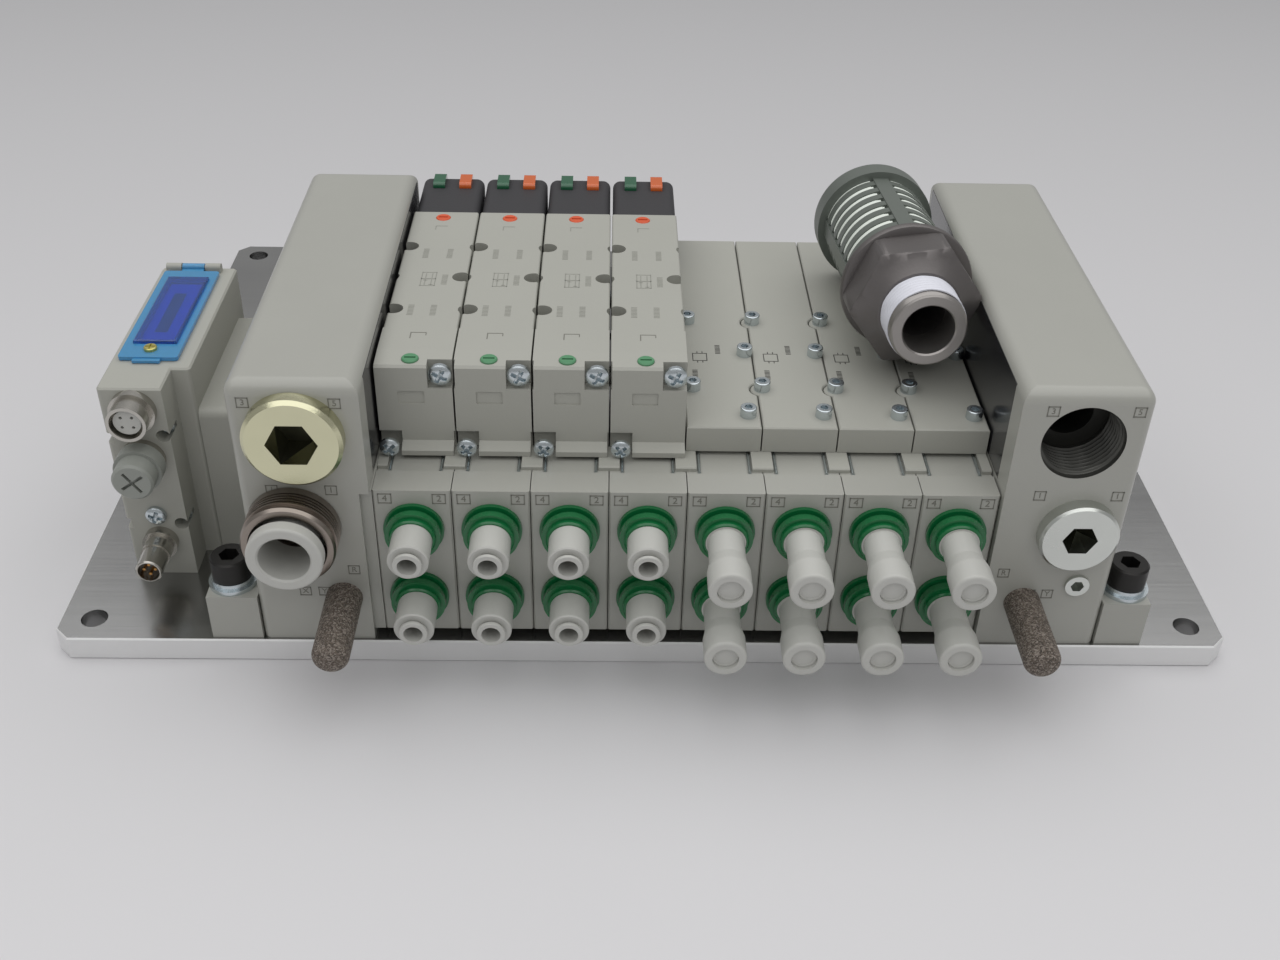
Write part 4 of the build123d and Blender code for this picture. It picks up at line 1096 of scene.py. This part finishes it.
# %% Supply fitting
ring_count, first_ring, ring_pitch = 5, 2.6, 1.35
outer_radius, groove_radius, bore_radius = 14.95, 14.15, 12.15
fitting_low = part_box("supply_fitting_body")[0]
ring_low, ring_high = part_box("supply_release_ring")
fitting_x, fitting_z = (ring_low.x + ring_high.x) / 2, (ring_low.z + ring_high.z) / 2
step_out = -(ring_high.y + 2 * MM - end_y) / MM
mouth_out = (end_y - fitting_low.y) / MM
groove_rows = []
for k in range(ring_count):
    at = first_ring + ring_pitch * k
    groove_rows += [(outer_radius, at), (outer_radius, at + 0.6)]
    groove_rows += [(groove_radius, at + 0.75), (groove_radius, at + 1.2)]
profile = [
    (0, -5.5),
    (14.0, -5.5),
    (14.0, 0.0),
    (14.9, 0.4),
    (14.9, 2.2),
    *groove_rows,
    (outer_radius, mouth_out - 1.4),
    (14.3, mouth_out - 0.2),
    (13.6, mouth_out),
    (12.4, mouth_out),
    (bore_radius, mouth_out - 0.4),
    (bore_radius, step_out),
    (8.1, step_out),
    (8.1, -4.8),
    (0, -4.8),
]
fitting_points, fitting_faces = turned(profile, (fitting_x, end_y, fitting_z), (0, -1, 0), 128)
fitting = add_piece(
    "supply_fitting_turned", fitting_points, fitting_faces, "nickel_brass", material=dark_nickel
)
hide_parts("supply_fitting_body")

# %% [markdown]
# ## Membranes in the tube plugs
# A thin dished disc closes each of the eight tube plugs just inside its mouth. Its radius
# is measured from the plug's own points, so it fits the hole.

# %% Plug membranes
plug_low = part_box("tube_plugs")[0]
plug_points = node_points("tube_plugs")
mouth = plug_points[plug_points[:, 1] < plug_low.y + 0.3 * MM]
from_plug_axis = np.hypot(mouth[:, 0] - station_x[valve_count], mouth[:, 2] - lower_port_z)
mouth_radius = from_plug_axis.min() / MM
print("plug mouth radius in mm:", round(mouth_radius, 2))
disc_shape = [
    (0, -0.5), (0.98, -0.5), (0.98, 0.0), (0.86, 0.0), (0.8, -0.18), (0.4, -0.1), (0, -0.06)
]
disc = [(mouth_radius * share, distance) for share, distance in disc_shape]
disc_y = plug_low.y + 1.3 * MM
discs = [
    turned(disc, (x, disc_y, z), (0, -1, 0), 48)
    for x in station_x[valve_count:]
    for z in (upper_port_z, lower_port_z)
]
add_piece("tube_plug_membranes", *join_shapes(discs), "white_resin")

# %% [markdown]
# ## The strip under the window
# A dark strip lies in the middle of the blue panel, seen through the lid.

# %% Display strip
panel_low, panel_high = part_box("display_panel")
strip_bar = [(-2.6, -15.0, 4.4, 28.0)]
panel_x, panel_y = (panel_low.x + panel_high.x) / 2 / MM, (panel_low.y + panel_high.y) / 2 / MM
add_print("display_strip", [(panel_x, panel_y, strip_bar)], panel_high.z, display_strip)

# %% [markdown]
# ## The floor
# A plain pale floor reaches far past the island on every side. Its colour ramp paints shade
# into it, darker from front to back like light falling off over a table, so the far side stays
# quiet.

# %% Floor
floor_half = 7.0
floor_z = cad_low.z
floor_mesh = bpy.data.meshes.new("floor")
floor_corners = [(-1, -1), (1, -1), (1, 1), (-1, 1)]
floor_mesh.from_pydata(
    [(x * floor_half, y * floor_half, floor_z) for x, y in floor_corners], [], [(0, 1, 2, 3)]
)
floor = bpy.data.objects.new("floor", floor_mesh)
bpy.context.scene.collection.objects.link(floor)
floor_material, floor_tree, floor_shader = new_material("pale_floor")
floor_shader.inputs["Roughness"].default_value = 0.8
floor_place = add_node(floor_tree, "ShaderNodeTexCoord")
floor_split = add_node(floor_tree, "ShaderNodeSeparateXYZ")
floor_range = add_node(floor_tree, "ShaderNodeMapRange", from_min=-0.35, from_max=1.3)
# Painted shade: the floor's colour darkens with distance behind the island.
floor_painted_shade_ramp = add_node(floor_tree, "ShaderNodeValToRGB")
floor_painted_shade_ramp.color_ramp.elements[0].color = tone(220, 219, 221)
floor_painted_shade_ramp.color_ramp.elements[1].color = tone(146, 146, 147)
floor_tree.links.new(floor_place.outputs["Object"], floor_split.inputs["Vector"])
floor_tree.links.new(floor_split.outputs["Y"], floor_range.inputs["Value"])
floor_tree.links.new(floor_range.outputs["Result"], floor_painted_shade_ramp.inputs["Fac"])
floor_tree.links.new(floor_painted_shade_ramp.outputs["Color"], floor_shader.inputs["Base Color"])
floor_mesh.materials.append(floor_material)
print("floor side in m:", 2 * floor_half)

# %% [markdown]
# ## The light
# One large soft lamp hangs straight above the island, so tops are bright and fronts are
# quieter. A weak, even white world fills the shadows.

# %% World and lamp
world = bpy.data.worlds.new("studio")
bpy.context.scene.world = world
world.use_nodes = True
background = world.node_tree.nodes["Background"]
background.inputs["Color"].default_value = (1, 1, 1, 1)
background.inputs["Strength"].default_value = 0.33


def soft_lamp(name, place, target, size, power):
    """A square area lamp at a place, facing a target."""
    data = bpy.data.lights.new(name, "AREA")
    data.size = size
    data.energy = power
    lamp = bpy.data.objects.new(name, data)
    bpy.context.scene.collection.objects.link(lamp)
    back = np.asarray(place, float) - np.asarray(target, float)
    back = back / np.linalg.norm(back)
    lamp.matrix_world = matrix_of(*local_axes(back), back, place)
    print(name, "size in m:", size, "power in W:", power)


soft_lamp("ceiling_lamp", (0.0, -0.12, 1.5), (0, -0.12, 0), 3.0, 31.0)
